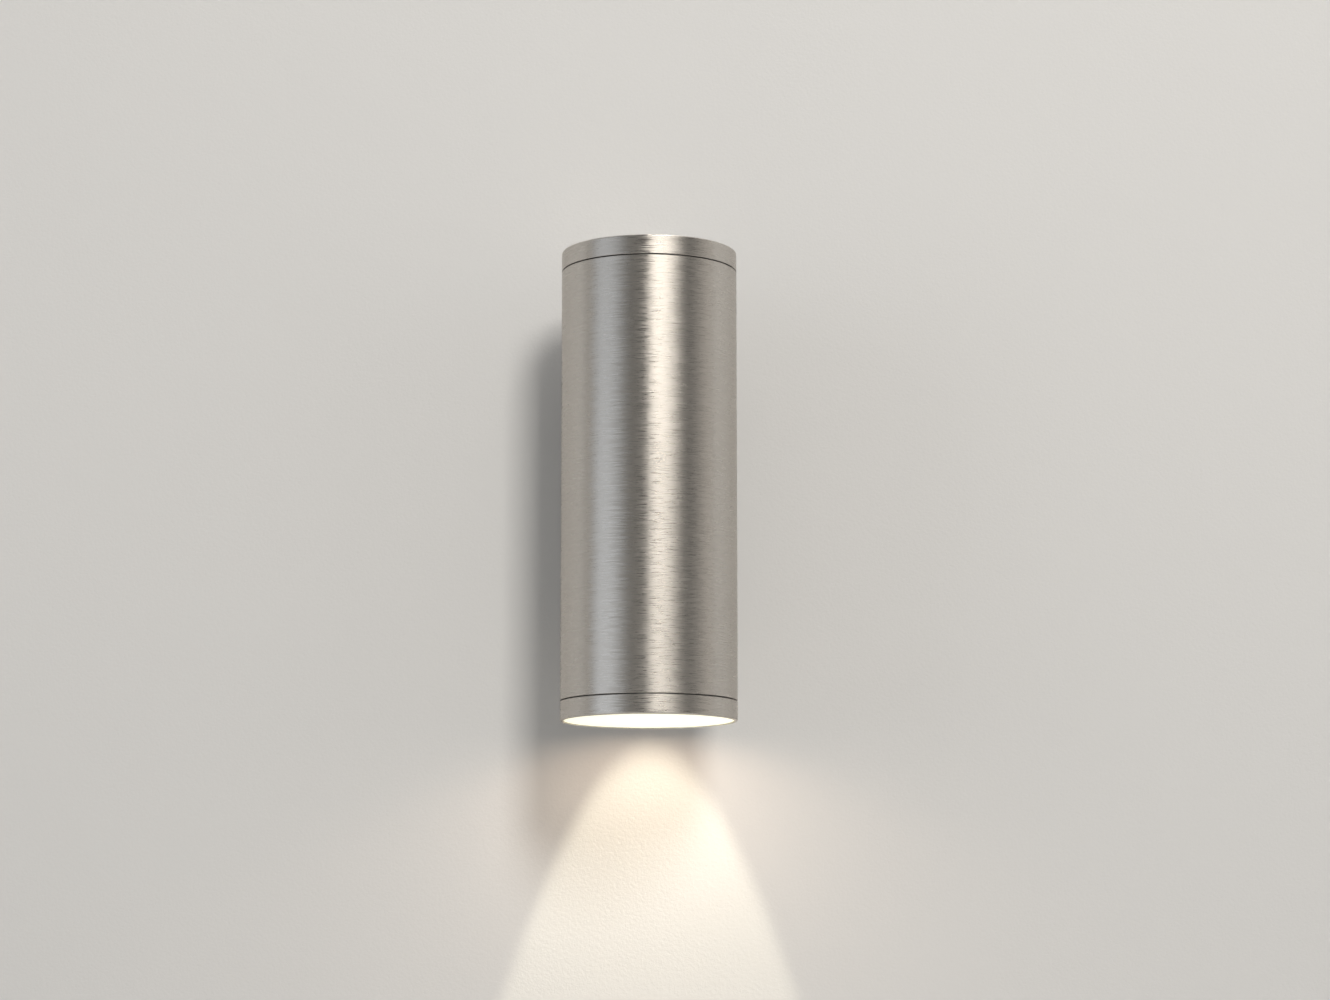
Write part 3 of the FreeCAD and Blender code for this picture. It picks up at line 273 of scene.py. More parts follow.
def shade(colour, factor):
    """A colour made darker or lighter."""
    return tuple(min(1.0, part * factor) for part in colour)


STEEL = (0.582, 0.555, 0.522)
STROKE_LEAN = 0.024
SCRATCH_LEAN = 0.026
# The height of the joints between the tube and its ends, and the half width of the shadow line
# painted dark in them.
JOINT_HEIGHT = tube_high.z + 0.0002
JOINT_SHADE = 0.00032


def brushed_steel(name, shift):
    """Stainless steel brushed round the tube. The level scratches spread a highlight up and down,
    and no two are alike, so that the highlight's upright edges are ragged."""
    finish = Finish(name)
    centred = finish.stretched((1.0, 1.0, 1.0), TUBE_AXIS)
    around = finish.vector("NORMALIZE", finish.vector("CROSS_PRODUCT", (0.0, 0.0, 1.0), centred))
    turned = finish.node("VectorTransform", vector_type="VECTOR",
                         convert_from="OBJECT", convert_to="WORLD")
    finish.link(around, turned.inputs["Vector"])
    around = turned.outputs["Vector"]
    normal = finish.node("NewGeometry").outputs["Normal"]

    offset = (shift, shift, shift)
    scratches = finish.noise(finish.vector("ADD", finish.stretched((150.0, 150.0, 3600.0)), offset),
                             detail=2.0, roughness=0.6)
    strokes = finish.noise(finish.vector("ADD", finish.stretched((55.0, 55.0, 2700.0)), offset),
                           detail=2.0, roughness=0.6)
    clouds = finish.noise(finish.vector("ADD", finish.stretched((30.0, 30.0, 18.0)), offset))

    lean = finish.math("ADD", finish.spread(strokes, -STROKE_LEAN, STROKE_LEAN, 0.36, 0.64),
                       finish.spread(scratches, -SCRATCH_LEAN, SCRATCH_LEAN, 0.36, 0.64))
    leaning = finish.vector("SCALE", around, scale=lean)
    tone = finish.between(shade(STEEL, 0.975), shade(STEEL, 1.02),
                          finish.spread(scratches, 0.0, 1.0, 0.36, 0.64))
    finish.set(
        # painted shade: the joints' shadow line is painted near black into the steel's colour
        Base_Color=finish.between(shade(STEEL, 0.10), tone, finish.outside_joint_shadow()),
        Metallic=1.0, Specular_Tint=(0.80, 0.78, 0.76, 1.0),
        Roughness=finish.math("ADD", finish.spread(scratches, 0.25, 0.355, 0.36, 0.64),
                              finish.spread(clouds, -0.012, 0.012)),
        Anisotropic=0.95,
        Tangent=finish.vector("CROSS_PRODUCT", normal, around),
        Normal=finish.vector("NORMALIZE", finish.vector("ADD", normal, leaning)),
    )
    return finish.material


def turned_steel(name):
    """Steel straight from the lathe: fine even rings."""
    finish = Finish(name)
    rings = finish.noise(finish.stretched((60.0, 60.0, 5200.0), TUBE_AXIS), detail=1.0)
    finish.set(Base_Color=finish.between((0.47, 0.46, 0.45), (0.60, 0.59, 0.57), rings),
               Metallic=1.0, Roughness=finish.spread(rings, 0.24, 0.38),
               Normal=finish.bump(rings, 0.00002))
    return finish.material


def plated(name, colour, roughness, grain=2600.0):
    """A plated or drawn metal: a bright, slightly uneven skin with handling marks."""
    finish = Finish(name)
    skin = finish.noise(finish.stretched((grain, grain, grain)), detail=2.0)
    marks = finish.noise(finish.stretched((190.0, 190.0, 190.0)), detail=4.0, roughness=0.65)
    metal = finish.between(shade(colour, 0.86), shade(colour, 1.06), marks)
    finish.set(Base_Color=finish.between(metal, shade(colour, 1.15), finish.worn_edges(0.0002)),
               Metallic=1.0,
               Roughness=finish.spread(marks, roughness - 0.06, roughness + 0.09),
               Normal=finish.bump(skin, 0.000015))
    return finish.material


def zinc_sheet(name):
    """Hot-dipped sheet with its frosted crystal pattern."""
    finish = Finish(name)
    crystals = finish.node("TexVoronoi", feature="F1")
    finish.link(finish.stretched((240.0, 240.0, 240.0)), crystals.inputs["Vector"])
    tones = finish.node("SeparateColor")
    finish.link(crystals.outputs["Color"], tones.inputs["Color"])
    tone = tones.outputs[0]
    haze = finish.noise(finish.stretched((900.0, 900.0, 900.0)), detail=3.0)
    zinc = finish.between((0.46, 0.47, 0.49), (0.62, 0.63, 0.64), tone)
    finish.set(Base_Color=finish.between(zinc, (0.70, 0.70, 0.70), finish.worn_edges(0.0003)),
               Metallic=1.0, Roughness=finish.spread(tone, 0.30, 0.48, 0.0, 1.0),
               Normal=finish.bump(haze, 0.00003))
    return finish.material


def moulded(name, colour, roughness, grain=1800.0, depth=0.00003):
    """A moulded plastic or rubber with a fine spark-eroded grain and faint flow marks."""
    finish = Finish(name)
    texture = finish.noise(finish.stretched((grain, grain, grain)), detail=2.0)
    flow = finish.noise(finish.stretched((70.0, 70.0, 110.0)), detail=3.0)
    plain = finish.between(shade(colour, 0.92), shade(colour, 1.05), flow)
    finish.set(Base_Color=finish.between(plain, shade(colour, 1.18), finish.worn_edges(0.0003)),
               Roughness=finish.spread(texture, roughness - 0.05, roughness + 0.06),
               Normal=finish.bump(texture, depth))
    return finish.material


def glazed(name, colour):
    """Glazed ceramic: a glossy skin over a faintly speckled body."""
    finish = Finish(name)
    speckle = finish.noise(finish.stretched((1300.0, 1300.0, 1300.0)), detail=4.0, roughness=0.7)
    wave = finish.noise(finish.stretched((160.0, 160.0, 160.0)))
    body = finish.between(shade(colour, 0.82), colour, finish.spread(speckle, 0.0, 1.0, 0.25, 0.45))
    finish.set(Base_Color=finish.between(body, shade(colour, 1.08), finish.worn_edges(0.0005)),
               Roughness=finish.spread(wave, 0.14, 0.24), Coat_Weight=0.6,
               Normal=finish.bump(wave, 0.00006))
    return finish.material


def powder_coat(name, colour):
    """Fine-textured powder coat on a casting."""
    finish = Finish(name)
    grit = finish.noise(finish.stretched((1500.0, 1500.0, 1500.0)), detail=3.0, roughness=0.6)
    clouds = finish.noise(finish.stretched((45.0, 45.0, 45.0)), detail=2.0)
    coat = finish.between(shade(colour, 0.93), shade(colour, 1.06), clouds)
    rubbed = finish.math("MULTIPLY", finish.worn_edges(0.0008), finish.spread(grit, 0.3, 1.0))
    finish.set(Base_Color=finish.between(coat, shade(colour, 1.6), rubbed),
               Roughness=finish.spread(grit, 0.48, 0.66),
               Normal=finish.bump(grit, 0.00009, 0.7))
    return finish.material


def closed_foam(name, colour):
    """Closed-cell foam: small round cells cut open at the surface."""
    finish = Finish(name)
    cells = finish.node("TexVoronoi", feature="F1")
    finish.link(finish.stretched((1500.0, 1500.0, 1500.0)), cells.inputs["Vector"])
    finish.set(Base_Color=finish.between(shade(colour, 1.6), shade(colour, 0.7),
                                         cells.outputs["Distance"]),
               Roughness=0.88, Normal=finish.bump(cells.outputs["Distance"], 0.00012))
    return finish.material


def glowing_opal(name):
    """Opal glass with the lamp on behind it: even, warm white, a touch deeper at the rim."""
    finish = Finish(name)
    centred = finish.stretched((1.0, 1.0, 0.0), TUBE_AXIS)
    length = finish.node("VectorMath", operation="LENGTH")
    finish.link(centred, length.inputs[0])
    rim = finish.spread(length.outputs["Value"], 0.0, 1.0, TUBE_RADIUS * 0.7, TUBE_RADIUS)
    frost = finish.noise(finish.stretched((1400.0, 1400.0, 1400.0)), detail=2.0)
    glow = finish.between((1.0, 1.0, 0.78), (1.0, 0.98, 0.72), rim)
    finish.set(Base_Color=finish.between((0.42, 0.42, 0.40), (0.38, 0.37, 0.34), rim),
               Roughness=finish.spread(frost, 0.30, 0.42),
               Emission_Color=glow, Emission_Strength=0.92,
               Normal=finish.bump(frost, 0.00002))
    return finish.material


def clear_cover(name):
    """Clear moulded plastic with a faint haze."""
    finish = Finish(name)
    haze = finish.noise(finish.stretched((420.0, 420.0, 420.0)), detail=3.0)
    finish.set(Base_Color=finish.between((0.90, 0.92, 0.93), (0.98, 0.98, 0.98), haze),
               Roughness=finish.spread(haze, 0.05, 0.14), Transmission_Weight=0.9, IOR=1.49)
    return finish.material


def phosphor(name):
    """The yellow gel over the light-emitting chips, with its fine grain."""
    finish = Finish(name)
    grain = finish.noise(finish.stretched((4200.0, 4200.0, 4200.0)), detail=2.0)
    colour = finish.between((0.86, 0.58, 0.10), (0.95, 0.76, 0.26), grain)
    finish.set(Base_Color=colour, Roughness=finish.spread(grain, 0.20, 0.32),
               Emission_Color=colour, Emission_Strength=0.6)
    return finish.material


def sleeve(name, colour):
    """The soft sleeve of a lead: matt, with faint rubbed patches."""
    finish = Finish(name)
    rubbed = finish.noise(finish.stretched((260.0, 260.0, 120.0)), detail=3.0)
    finish.set(Base_Color=finish.between(shade(colour, 0.85), shade(colour, 1.25), rubbed),
               Roughness=finish.spread(rubbed, 0.42, 0.60),
               Normal=finish.bump(rubbed, 0.00003))
    return finish.material


FINISHES = {
    "brushed_tube": brushed_steel("brushed_tube", 0.0),
    "brushed_cap": brushed_steel("brushed_cap", 31.7),
    "brushed_bezel": brushed_steel("brushed_bezel", 57.3),
    "machined_steel": turned_steel("machined_steel"),
    "stainless_screws": plated("stainless_screws", (0.60, 0.58, 0.55), 0.28),
    "black_rubber": moulded("black_rubber", (0.022, 0.022, 0.022), 0.62),
    "grey_silicone": moulded("grey_silicone", (0.33, 0.33, 0.32), 0.55),
    "foam": closed_foam("foam", (0.03, 0.03, 0.03)),
    "opal_lens": glowing_opal("opal_lens"),
    "lamp_plastic": moulded("lamp_plastic", (0.78, 0.78, 0.76), 0.42),
    "nickel": plated("nickel", (0.66, 0.61, 0.54), 0.20),
    "clear_front": clear_cover("clear_front"),
    "board_white": moulded("board_white", (0.84, 0.84, 0.82), 0.38, 900.0),
    "phosphor": phosphor("phosphor"),
    "board_green": moulded("board_green", (0.04, 0.20, 0.09), 0.34, 700.0),
    "ceramic": glazed("ceramic", (0.84, 0.82, 0.76)),
    "zinc_screws": plated("zinc_screws", (0.60, 0.61, 0.60), 0.26),
    "zinc_sheet": zinc_sheet("zinc_sheet"),
    "cast_box": powder_coat("cast_box", (0.15, 0.15, 0.152)),
    "nylon": moulded("nylon", (0.74, 0.73, 0.68), 0.40),
    "nylon_black": moulded("nylon_black", (0.025, 0.025, 0.026), 0.40),
    "terminal_plastic": moulded("terminal_plastic", (0.80, 0.79, 0.74), 0.40),
    "brass": plated("brass", (0.72, 0.53, 0.24), 0.24),
    "lead_brown": sleeve("lead_brown", (0.15, 0.065, 0.03)),
    "lead_blue": sleeve("lead_blue", (0.025, 0.11, 0.36)),
    "lead_green": sleeve("lead_green", (0.10, 0.36, 0.09)),
}


def dress_nodes():
    """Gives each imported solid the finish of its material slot."""
    for name, node in frame["nodes"].items():
        for index in range(len(node.data.materials)):
            node.data.materials[index] = FINISHES[node_slots[name]]


# ---- shaping -------------------------------------------------------------------------------------

def turn(bm, outline, closed=True, steps=72):
    """Turns an outline of (radius, height) places about the upright axis."""
    corners = [bm.verts.new((radius, 0, height)) for radius, height in outline]
    ends = corners[1:] + corners[:1] if closed else corners[1:]
    edges = [bm.edges.new(pair) for pair in zip(corners, ends)]
    bmesh.ops.spin(bm, geom=corners + edges, cent=(0, 0, 0), axis=(0, 0, 1),
                   angle=math.tau, steps=steps, use_merge=True)
    clean(bm)


def clean(bm):
    """Merges doubles and turns every face outwards."""
    bmesh.ops.remove_doubles(bm, verts=bm.verts, dist=1e-6)
    bmesh.ops.recalc_face_normals(bm, faces=bm.faces)


def soften(bm, radius, segments=2, fold=30, wanted=lambda edge: True):
    """Rounds every edge that folds by more than an angle."""
    sharp = [edge for edge in bm.edges
             if edge.calc_face_angle(0) > math.radians(fold) and wanted(edge)]
    bmesh.ops.bevel(bm, geom=sharp, offset=radius, offset_type="OFFSET", segments=segments,
                    profile=0.5, affect="EDGES", clamp_overlap=True, material=-1)


def ring_of_edges(corners):
    """All the edges that meet at some corners."""
    return list({edge for corner in corners for edge in corner.link_edges})


def round_loop(bm, radius, x=0.0, z=0.0, steps=32):
    """A level circle of edges, laid out in x and z."""
    corners = bmesh.ops.create_circle(bm, segments=steps, radius=radius)["verts"]
    bmesh.ops.translate(bm, vec=(x, z, 0), verts=corners)
    return corners


def rounded_loop(bm, half_width, half_height, corner, steps=8):
    """A level rectangle of edges with round corners."""
    made = bmesh.ops.create_circle(bm, cap_ends=True, segments=4, radius=math.sqrt(2))["verts"]
    bmesh.ops.rotate(bm, matrix=Matrix.Rotation(math.radians(45), 3, "Z"), verts=made)
    bmesh.ops.scale(bm, vec=(half_width, half_height, 1.0), verts=made)
    rounded = bmesh.ops.bevel(bm, geom=made, offset=corner, offset_type="OFFSET", segments=steps,
                              profile=0.5, affect="VERTICES", material=-1)
    corners = rounded["verts"]
    bmesh.ops.delete(bm, geom=[f for f in bm.faces if f.verts[0] in corners], context="FACES_ONLY")
    return corners


def slot_loop(bm, half_width, half_length, x, z):
    """A level loop of edges with straight sides and round ends."""
    corners = round_loop(bm, half_width)
    for side in (1, -1):
        end = [corner for corner in corners if corner.co.y * side > 1e-7]
        bmesh.ops.translate(bm, vec=(0, side * (half_length - half_width), 0), verts=end)
    bmesh.ops.translate(bm, vec=(x, z, 0), verts=corners)
    return corners


def thicken(bm, faces, thickness):
    """Gives a level sheet its thickness, downwards."""
    grown = bmesh.ops.extrude_face_region(bm, geom=faces)["geom"]
    moved = [part for part in grown if isinstance(part, bmesh.types.BMVert)]
    bmesh.ops.translate(bm, vec=(0, 0, -thickness), verts=moved)
    clean(bm)


def stand_up(bm, front):
    """Turns what was laid out level so that it faces the wall, and sets its front at a depth."""
    bmesh.ops.rotate(bm, matrix=Matrix.Rotation(math.radians(90), 3, "X"), verts=bm.verts)
    reach = min(corner.co.y for corner in bm.verts)
    bmesh.ops.translate(bm, vec=(0, front - reach, 0), verts=bm.verts)


def keep_piece(bm, node, body="fixed", crease=40):
    """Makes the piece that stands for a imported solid, in that solid's finish."""
    slot = node_slots[node]
    piece = keep_mesh(bm, node + "_made")
    piece.data.materials.append(FINISHES[slot])
    piece.data.shade_smooth()
    piece.data.set_sharp_from_angle(angle=math.radians(crease))
    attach(piece, body)
    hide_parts(node)
    return piece


def keep_mesh(bm, name):
    """Turns a bmesh into an object at the origin."""
    mesh = bpy.data.meshes.new(name)
    bm.to_mesh(mesh)
    bm.free()
    piece = bpy.data.objects.new(name, mesh)
    bpy.context.scene.collection.objects.link(piece)
    return piece


# ---- the pieces ----------------------------------------------------------------------------------

def make_lens():
    """The opal disc, with a soft moulded rim."""
    low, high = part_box("lens")
    radius = (high.x - low.x) / 2
    bm = bmesh.new()
    turn(bm, [(0, low.z), (radius, low.z), (radius, high.z), (0, high.z)], closed=False, steps=128)
    soften(bm, LENS_RIM_ROUND, segments=3)
    bmesh.ops.translate(bm, vec=TUBE_AXIS, verts=bm.verts)
    keep_piece(bm, "lens", "bezel_ring")


def make_side_screws():
    """Two button-head screws with hexagon sockets, one on each side of the box."""
    low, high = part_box("side_screws")
    washer_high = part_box("side_washers")[1]
    head_height = high.x - washer_high.x
    head_radius = (high.z - low.z) / 2
    bm = bmesh.new()
    turn(bm, [(0, -SIDE_SCREW_LENGTH), (SIDE_SCREW_RADIUS, -SIDE_SCREW_LENGTH),
              (SIDE_SCREW_RADIUS, 0), (head_radius, 0), (head_radius, head_height),
              (SOCKET_MOUTH, head_height)], closed=False, steps=SCREW_STEPS)
    soften(bm, SCREW_DOME_ROUND, segments=6, wanted=lambda edge: all(
        corner.co.z > head_height - 1e-6 and corner.co.xy.length > head_radius - 1e-6
        for corner in edge.verts))
    soften(bm, SCREW_EDGE_ROUND)

    # the socket's six sides, in as many steps as the head's mouth
    socket = bmesh.ops.create_circle(bm, segments=6, radius=SOCKET_WIDTH / math.sqrt(3))["verts"]
    bmesh.ops.translate(bm, vec=(0, 0, head_height), verts=socket)
    bmesh.ops.subdivide_edges(bm, edges=ring_of_edges(socket), cuts=SCREW_STEPS // 6 - 1)
    mouth = [edge for edge in bm.edges if edge.is_boundary]
    sides = [edge for edge in bm.edges if edge.is_wire]
    bmesh.ops.bridge_loops(bm, edges=mouth + sides)
    grown = bmesh.ops.extrude_edge_only(bm, edges=sides)["geom"]
    floor = [part for part in grown if isinstance(part, bmesh.types.BMVert)]
    bmesh.ops.translate(bm, vec=(0, 0, -SOCKET_DEPTH), verts=floor)
    bmesh.ops.holes_fill(bm, edges=[edge for edge in bm.edges if edge.is_boundary])
    clean(bm)
    both_sides(bm, washer_high.x, (low.y + high.y) / 2, (low.z + high.z) / 2)
    keep_piece(bm, "side_screws")


def both_sides(bm, x, y, z):
    """Turns an upright piece to point right, sets it in its place, and mirrors it to the left."""
    bmesh.ops.rotate(bm, matrix=Matrix.Rotation(math.radians(90), 3, "Y"), verts=bm.verts)
    bmesh.ops.translate(bm, vec=(x, y, z), verts=bm.verts)
    bmesh.ops.mirror(bm, geom=bm.verts[:] + bm.edges[:] + bm.faces[:], axis="X", merge_dist=-1.0)
    bmesh.ops.recalc_face_normals(bm, faces=bm.faces)


def make_side_washers():
    """Nylon washers with a round rim, under the side screws' heads."""
    low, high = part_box("side_washers")
    radius = (high.z - low.z) / 2
    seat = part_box("mounting_box")[1].x
    bm = bmesh.new()
    turn(bm, [(WASHER_HOLE, 0), (radius, 0), (radius, high.x - seat),
              (WASHER_HOLE, high.x - seat)], steps=48)
    soften(bm, WASHER_ROUND, segments=3)
    both_sides(bm, seat, (low.y + high.y) / 2, (low.z + high.z) / 2)
    keep_piece(bm, "side_washers")


def make_wall_gasket():
    """The foam band between box and wall, squeezed so that its sides round out."""
    low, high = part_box("wall_gasket")
    bm = bmesh.new()
    outer = rounded_loop(bm, high.x, high.z, BOX_CORNER)
    inner = rounded_loop(bm, high.x - BOX_WALL, high.z - BOX_WALL, BOX_CORNER - BOX_WALL)
    faces = bmesh.ops.bridge_loops(bm, edges=ring_of_edges(outer) + ring_of_edges(inner))["faces"]
    thicken(bm, faces, high.y - low.y)
    soften(bm, FOAM_BULGE, segments=4, fold=60)
    stand_up(bm, low.y)
    keep_piece(bm, "wall_gasket")


def make_wall_plate():
    """The pressed plate that is screwed to the wall, with a bent ear on each side."""
    low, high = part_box("wall_plate")
    bm = bmesh.new()
    loops = [rounded_loop(bm, high.x, high.z, PLATE_CORNER),
             round_loop(bm, BUSH_NECK, steps=48),
             round_loop(bm, TERMINAL_SCREW_HOLE, *TERMINAL_SCREW_PLACE, steps=16)]
    for side in (1, -1):
        loops.append(slot_loop(bm, SLOT_WIDTH / 2, SLOT_LENGTH / 2, 0, side * SLOT_SPACING / 2))
    edges = [edge for loop in loops for edge in ring_of_edges(loop)]
    filled = bmesh.ops.triangle_fill(bm, use_beauty=True, edges=edges)["geom"]
    thicken(bm, [part for part in filled if isinstance(part, bmesh.types.BMFace)], PLATE_THICKNESS)
    soften(bm, PLATE_EDGE_ROUND, segments=2, fold=60)
    stand_up(bm, high.y - PLATE_THICKNESS)
    add_ears(bm, low, high)
    keep_piece(bm, "wall_plate")


def add_ears(bm, low, high):
    """The two ears, each a small sheet with round outer corners and a hole for the side screw."""
    depth = -low.y
    ears = bmesh.new()
    outline = rounded_loop(ears, depth / 2, EAR_HEIGHT / 2, PLATE_CORNER - PLATE_THICKNESS)
    hole = round_loop(ears, WASHER_HOLE, EAR_HOLE_DEPTH - depth / 2, 0, steps=24)
    filled = bmesh.ops.triangle_fill(
        ears, use_beauty=True, edges=ring_of_edges(outline) + ring_of_edges(hole))["geom"]
    thicken(ears, [part for part in filled if isinstance(part, bmesh.types.BMFace)],
            PLATE_THICKNESS)
    soften(ears, EAR_EDGE_ROUND, segments=2, fold=60)
    # level x becomes the depth in front of the wall, and level y the height
    bmesh.ops.rotate(ears, matrix=Matrix.Rotation(math.radians(90), 3, "X"), verts=ears.verts)
    bmesh.ops.rotate(ears, matrix=Matrix.Rotation(math.radians(-90), 3, "Z"), verts=ears.verts)
    across = [corner.co.x for corner in ears.verts]
    bmesh.ops.translate(ears, vec=(high.x - max(across), -depth / 2, 0), verts=ears.verts)
    bmesh.ops.mirror(ears, geom=ears.verts[:] + ears.edges[:] + ears.faces[:], axis="X",
                     merge_dist=-1.0)
    bmesh.ops.recalc_face_normals(ears, faces=ears.faces)
    mesh = bpy.data.meshes.new("ears")
    ears.to_mesh(mesh)
    ears.free()
    bm.from_mesh(mesh)
    bpy.data.meshes.remove(mesh)


def make_cable_bush():
    """The bush that the supply cable comes through, with smooth flared lips."""
    low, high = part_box("cable_bush")
    flange = (high.x - low.x) / 2
    bm = bmesh.new()
    turn(bm, [(BUSH_BORE, 0), (BUSH_NECK, 0), (BUSH_NECK, -PLATE_THICKNESS),
              (flange, -PLATE_THICKNESS), (flange, low.y - high.y), (BUSH_BORE, low.y - high.y)],
         steps=64)
    soften(bm, BUSH_LIP_ROUND, segments=4)
    bmesh.ops.rotate(bm, matrix=Matrix.Rotation(math.radians(-90), 3, "X"), verts=bm.verts)
    bmesh.ops.translate(bm, vec=(0, high.y, 0), verts=bm.verts)
    keep_piece(bm, "cable_bush")


def make_lamp_housing():
    """The lamp's shell, with cooling slots pressed into its cone."""
    low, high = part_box("lamp_housing")
    rim = (high.x - low.x) / 2
    board_low, board_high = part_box("led_board")
    board_top = board_high.z
    bore = (board_high.x - board_low.x) / 2 + LAMP_BOARD_GAP
    bm = bmesh.new()
    turn(bm, [(bore, low.z), (rim, low.z), (rim, low.z + LAMP_RIM_HEIGHT),
              (LAMP_NECK, high.z), (LAMP_NECK - LAMP_WALL, high.z),
              (bore - LAMP_LEDGE, board_top), (bore, board_top)], steps=LAMP_SLOTS * 3)
    cone = [face for face in bm.faces
            if 0.2 < face.normal.z < 0.9 and face.calc_center_median().xy.length > LAMP_NECK
            and face.normal.xy.dot(face.calc_center_median().xy) > 0]
    cone.sort(key=lambda face: math.atan2(face.calc_center_median().y,
                                          face.calc_center_median().x))
    for face in cone[::3]:
        bmesh.ops.inset_region(bm, faces=[face], thickness=LAMP_SLOT_INSET, depth=0.0)
        bmesh.ops.translate(bm, vec=face.normal * -LAMP_SLOT_DEPTH, verts=face.verts)
    soften(bm, LAMP_EDGE_ROUND, segments=2, fold=35)
    bmesh.ops.translate(bm, vec=TUBE_AXIS, verts=bm.verts)
    keep_piece(bm, "lamp_housing", "lamp")


# ---- the studio ---------------------------------------------------------------------------------

def painted_wall(name, colour):
    """Pale wall paint with a roller's fine stipple. Seen from behind, the wall isn't there."""
    finish = Finish(name)
    stipple = finish.noise(finish.stretched((850.0, 850.0, 850.0)), detail=4.0, roughness=0.6)
    patches = finish.noise(finish.stretched((4.0, 4.0, 4.0)), detail=4.0)
    finish.set(Base_Color=finish.between(shade(colour, 0.985), shade(colour, 1.01), patches),
               Roughness=0.8, Normal=finish.bump(stipple, 0.0002, 0.5))
    clear = finish.node("BsdfTransparent")
    sides = finish.node("MixShader")
    finish.link(finish.node("NewGeometry").outputs["Backfacing"], sides.inputs[0])
    finish.link(finish.shader.outputs["BSDF"], sides.inputs[1])
    finish.link(clear.outputs["BSDF"], sides.inputs[2])
    finish.link(sides.outputs["Shader"], finish.output.inputs["Surface"])
    return finish.material


def rectangle(bm, half_width, half_height, middle):
    """An upright four-sided loop of edges, and its edges."""
    corners = bmesh.ops.create_circle(bm, segments=4, radius=math.sqrt(2))["verts"]
    bmesh.ops.rotate(bm, matrix=Matrix.Rotation(math.radians(45), 3, "Z"), verts=corners)
    bmesh.ops.scale(bm, vec=(half_width, half_height, 1.0), verts=corners)
    bmesh.ops.rotate(bm, matrix=Matrix.Rotation(math.radians(90), 3, "X"), verts=corners)
    bmesh.ops.translate(bm, vec=middle, verts=corners)
    return ring_of_edges(corners)


def make_wall():
    """The wall, open behind the light as it is round a real cable."""
    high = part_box("mounting_box")[1]
    bm = bmesh.new()
    edges = rectangle(bm, WALL_HALF_WIDTH, (WALL_TOP - FLOOR_HEIGHT) / 2,
                      (0, WALL_GAP, (WALL_TOP + FLOOR_HEIGHT) / 2))
    edges += rectangle(bm, high.x - WALL_OPENING_INSET, high.z - WALL_OPENING_INSET,
                       (0, WALL_GAP, 0))
    faces = bmesh.ops.bridge_loops(bm, edges=edges)["faces"]
    if faces[0].normal.y > 0:
        bmesh.ops.reverse_faces(bm, faces=faces)
    wall = keep_mesh(bm, "wall")
    wall.data.materials.append(painted_wall("wall_paint", WALL_PAINT))
    return wall


def painted_floor(name, colour):
    """Pale floor paint, which the camera, the metal and the glass see a little paler still."""
    finish = Finish(name)
    grain = finish.noise(finish.stretched((60.0, 60.0, 60.0)), detail=3.0)
    path = finish.node("LightPath")
    seen = path.outputs["Is Camera Ray"]
    for kind in ("Is Glossy Ray", "Is Transmission Ray"):
        seen = finish.math("MAXIMUM", seen, path.outputs[kind])
    finish.set(Base_Color=finish.between(shade(colour, 0.98), shade(colour, 1.02), grain),
               Roughness=0.7, Specular_IOR_Level=0.0, Emission_Color=(*colour, 1.0),
               Emission_Strength=finish.math("MULTIPLY", seen, FLOOR_GLOW))
    return finish.material


def make_floor():
    """A wide plain floor, well below the light."""
    bm = bmesh.new()
    bmesh.ops.create_grid(bm, x_segments=1, y_segments=1, size=FLOOR_HALF_WIDTH)
    bmesh.ops.translate(bm, vec=(0, 0, FLOOR_HEIGHT), verts=bm.verts)
    floor = keep_mesh(bm, "floor")
    floor.data.materials.append(painted_floor("floor_paint", FLOOR_PAINT))
    return floor


def painted_surround(name):
    """The screen's brightness by direction: grey, paler to the sides, with a cool window low on
    the left and a warm softbox high in front."""
    finish = Finish(name)
    parts = finish.node("SeparateXYZ")
    finish.link(finish.place, parts.inputs[0])
    right, back, height = parts.outputs
    bearing = finish.math("ARCTAN2", right, finish.math("MULTIPLY", back, -1.0))
    rise = finish.math("ARCTAN2", height, SURROUND_RADIUS)
    pale = finish.math("MAXIMUM", finish.slope(bearing, 50, 92), finish.slope(bearing, -68, -96))
    window = finish.math("MULTIPLY", finish.slope(bearing, -88, -62), finish.slope(bearing, -20, -54))
    window = finish.math("MULTIPLY", window, finish.slope(rise, 46, -24))
    key = finish.math("MULTIPLY", finish.slope(bearing, -7, 9), finish.slope(bearing, 56, 20))
    key = finish.math("MULTIPLY", key, finish.slope(rise, 20, 47))
    colour = finish.between(SURROUND_GREY, SURROUND_PALE, pale)
    colour = finish.between(colour, SURROUND_WINDOW, window)
    colour = finish.between(colour, SURROUND_KEY, key)
    glow = finish.node("Emission")
    finish.link(colour, glow.inputs["Color"])
    finish.link(glow.outputs[0], finish.output.inputs["Surface"])
    return finish.material


def make_surround():
    """A tall grey half-round screen before the wall, which only reflections see."""
    bm = bmesh.new()
    foot = bm.verts.new((SURROUND_RADIUS, 0, FLOOR_HEIGHT))
    head = bm.verts.new((SURROUND_RADIUS, 0, SURROUND_TOP))
    edge = bm.edges.new((foot, head))
    bmesh.ops.spin(bm, geom=[foot, head, edge], cent=(0, 0, 0), axis=(0, 0, 1),
                   angle=-math.pi, steps=48, use_merge=False)
    screen = keep_mesh(bm, "surround")
    screen.data.materials.append(painted_surround("surround_grey"))
    screen.visible_camera = False
    screen.visible_diffuse = False
    screen.visible_shadow = False
    screen.visible_transmission = False
    return screen


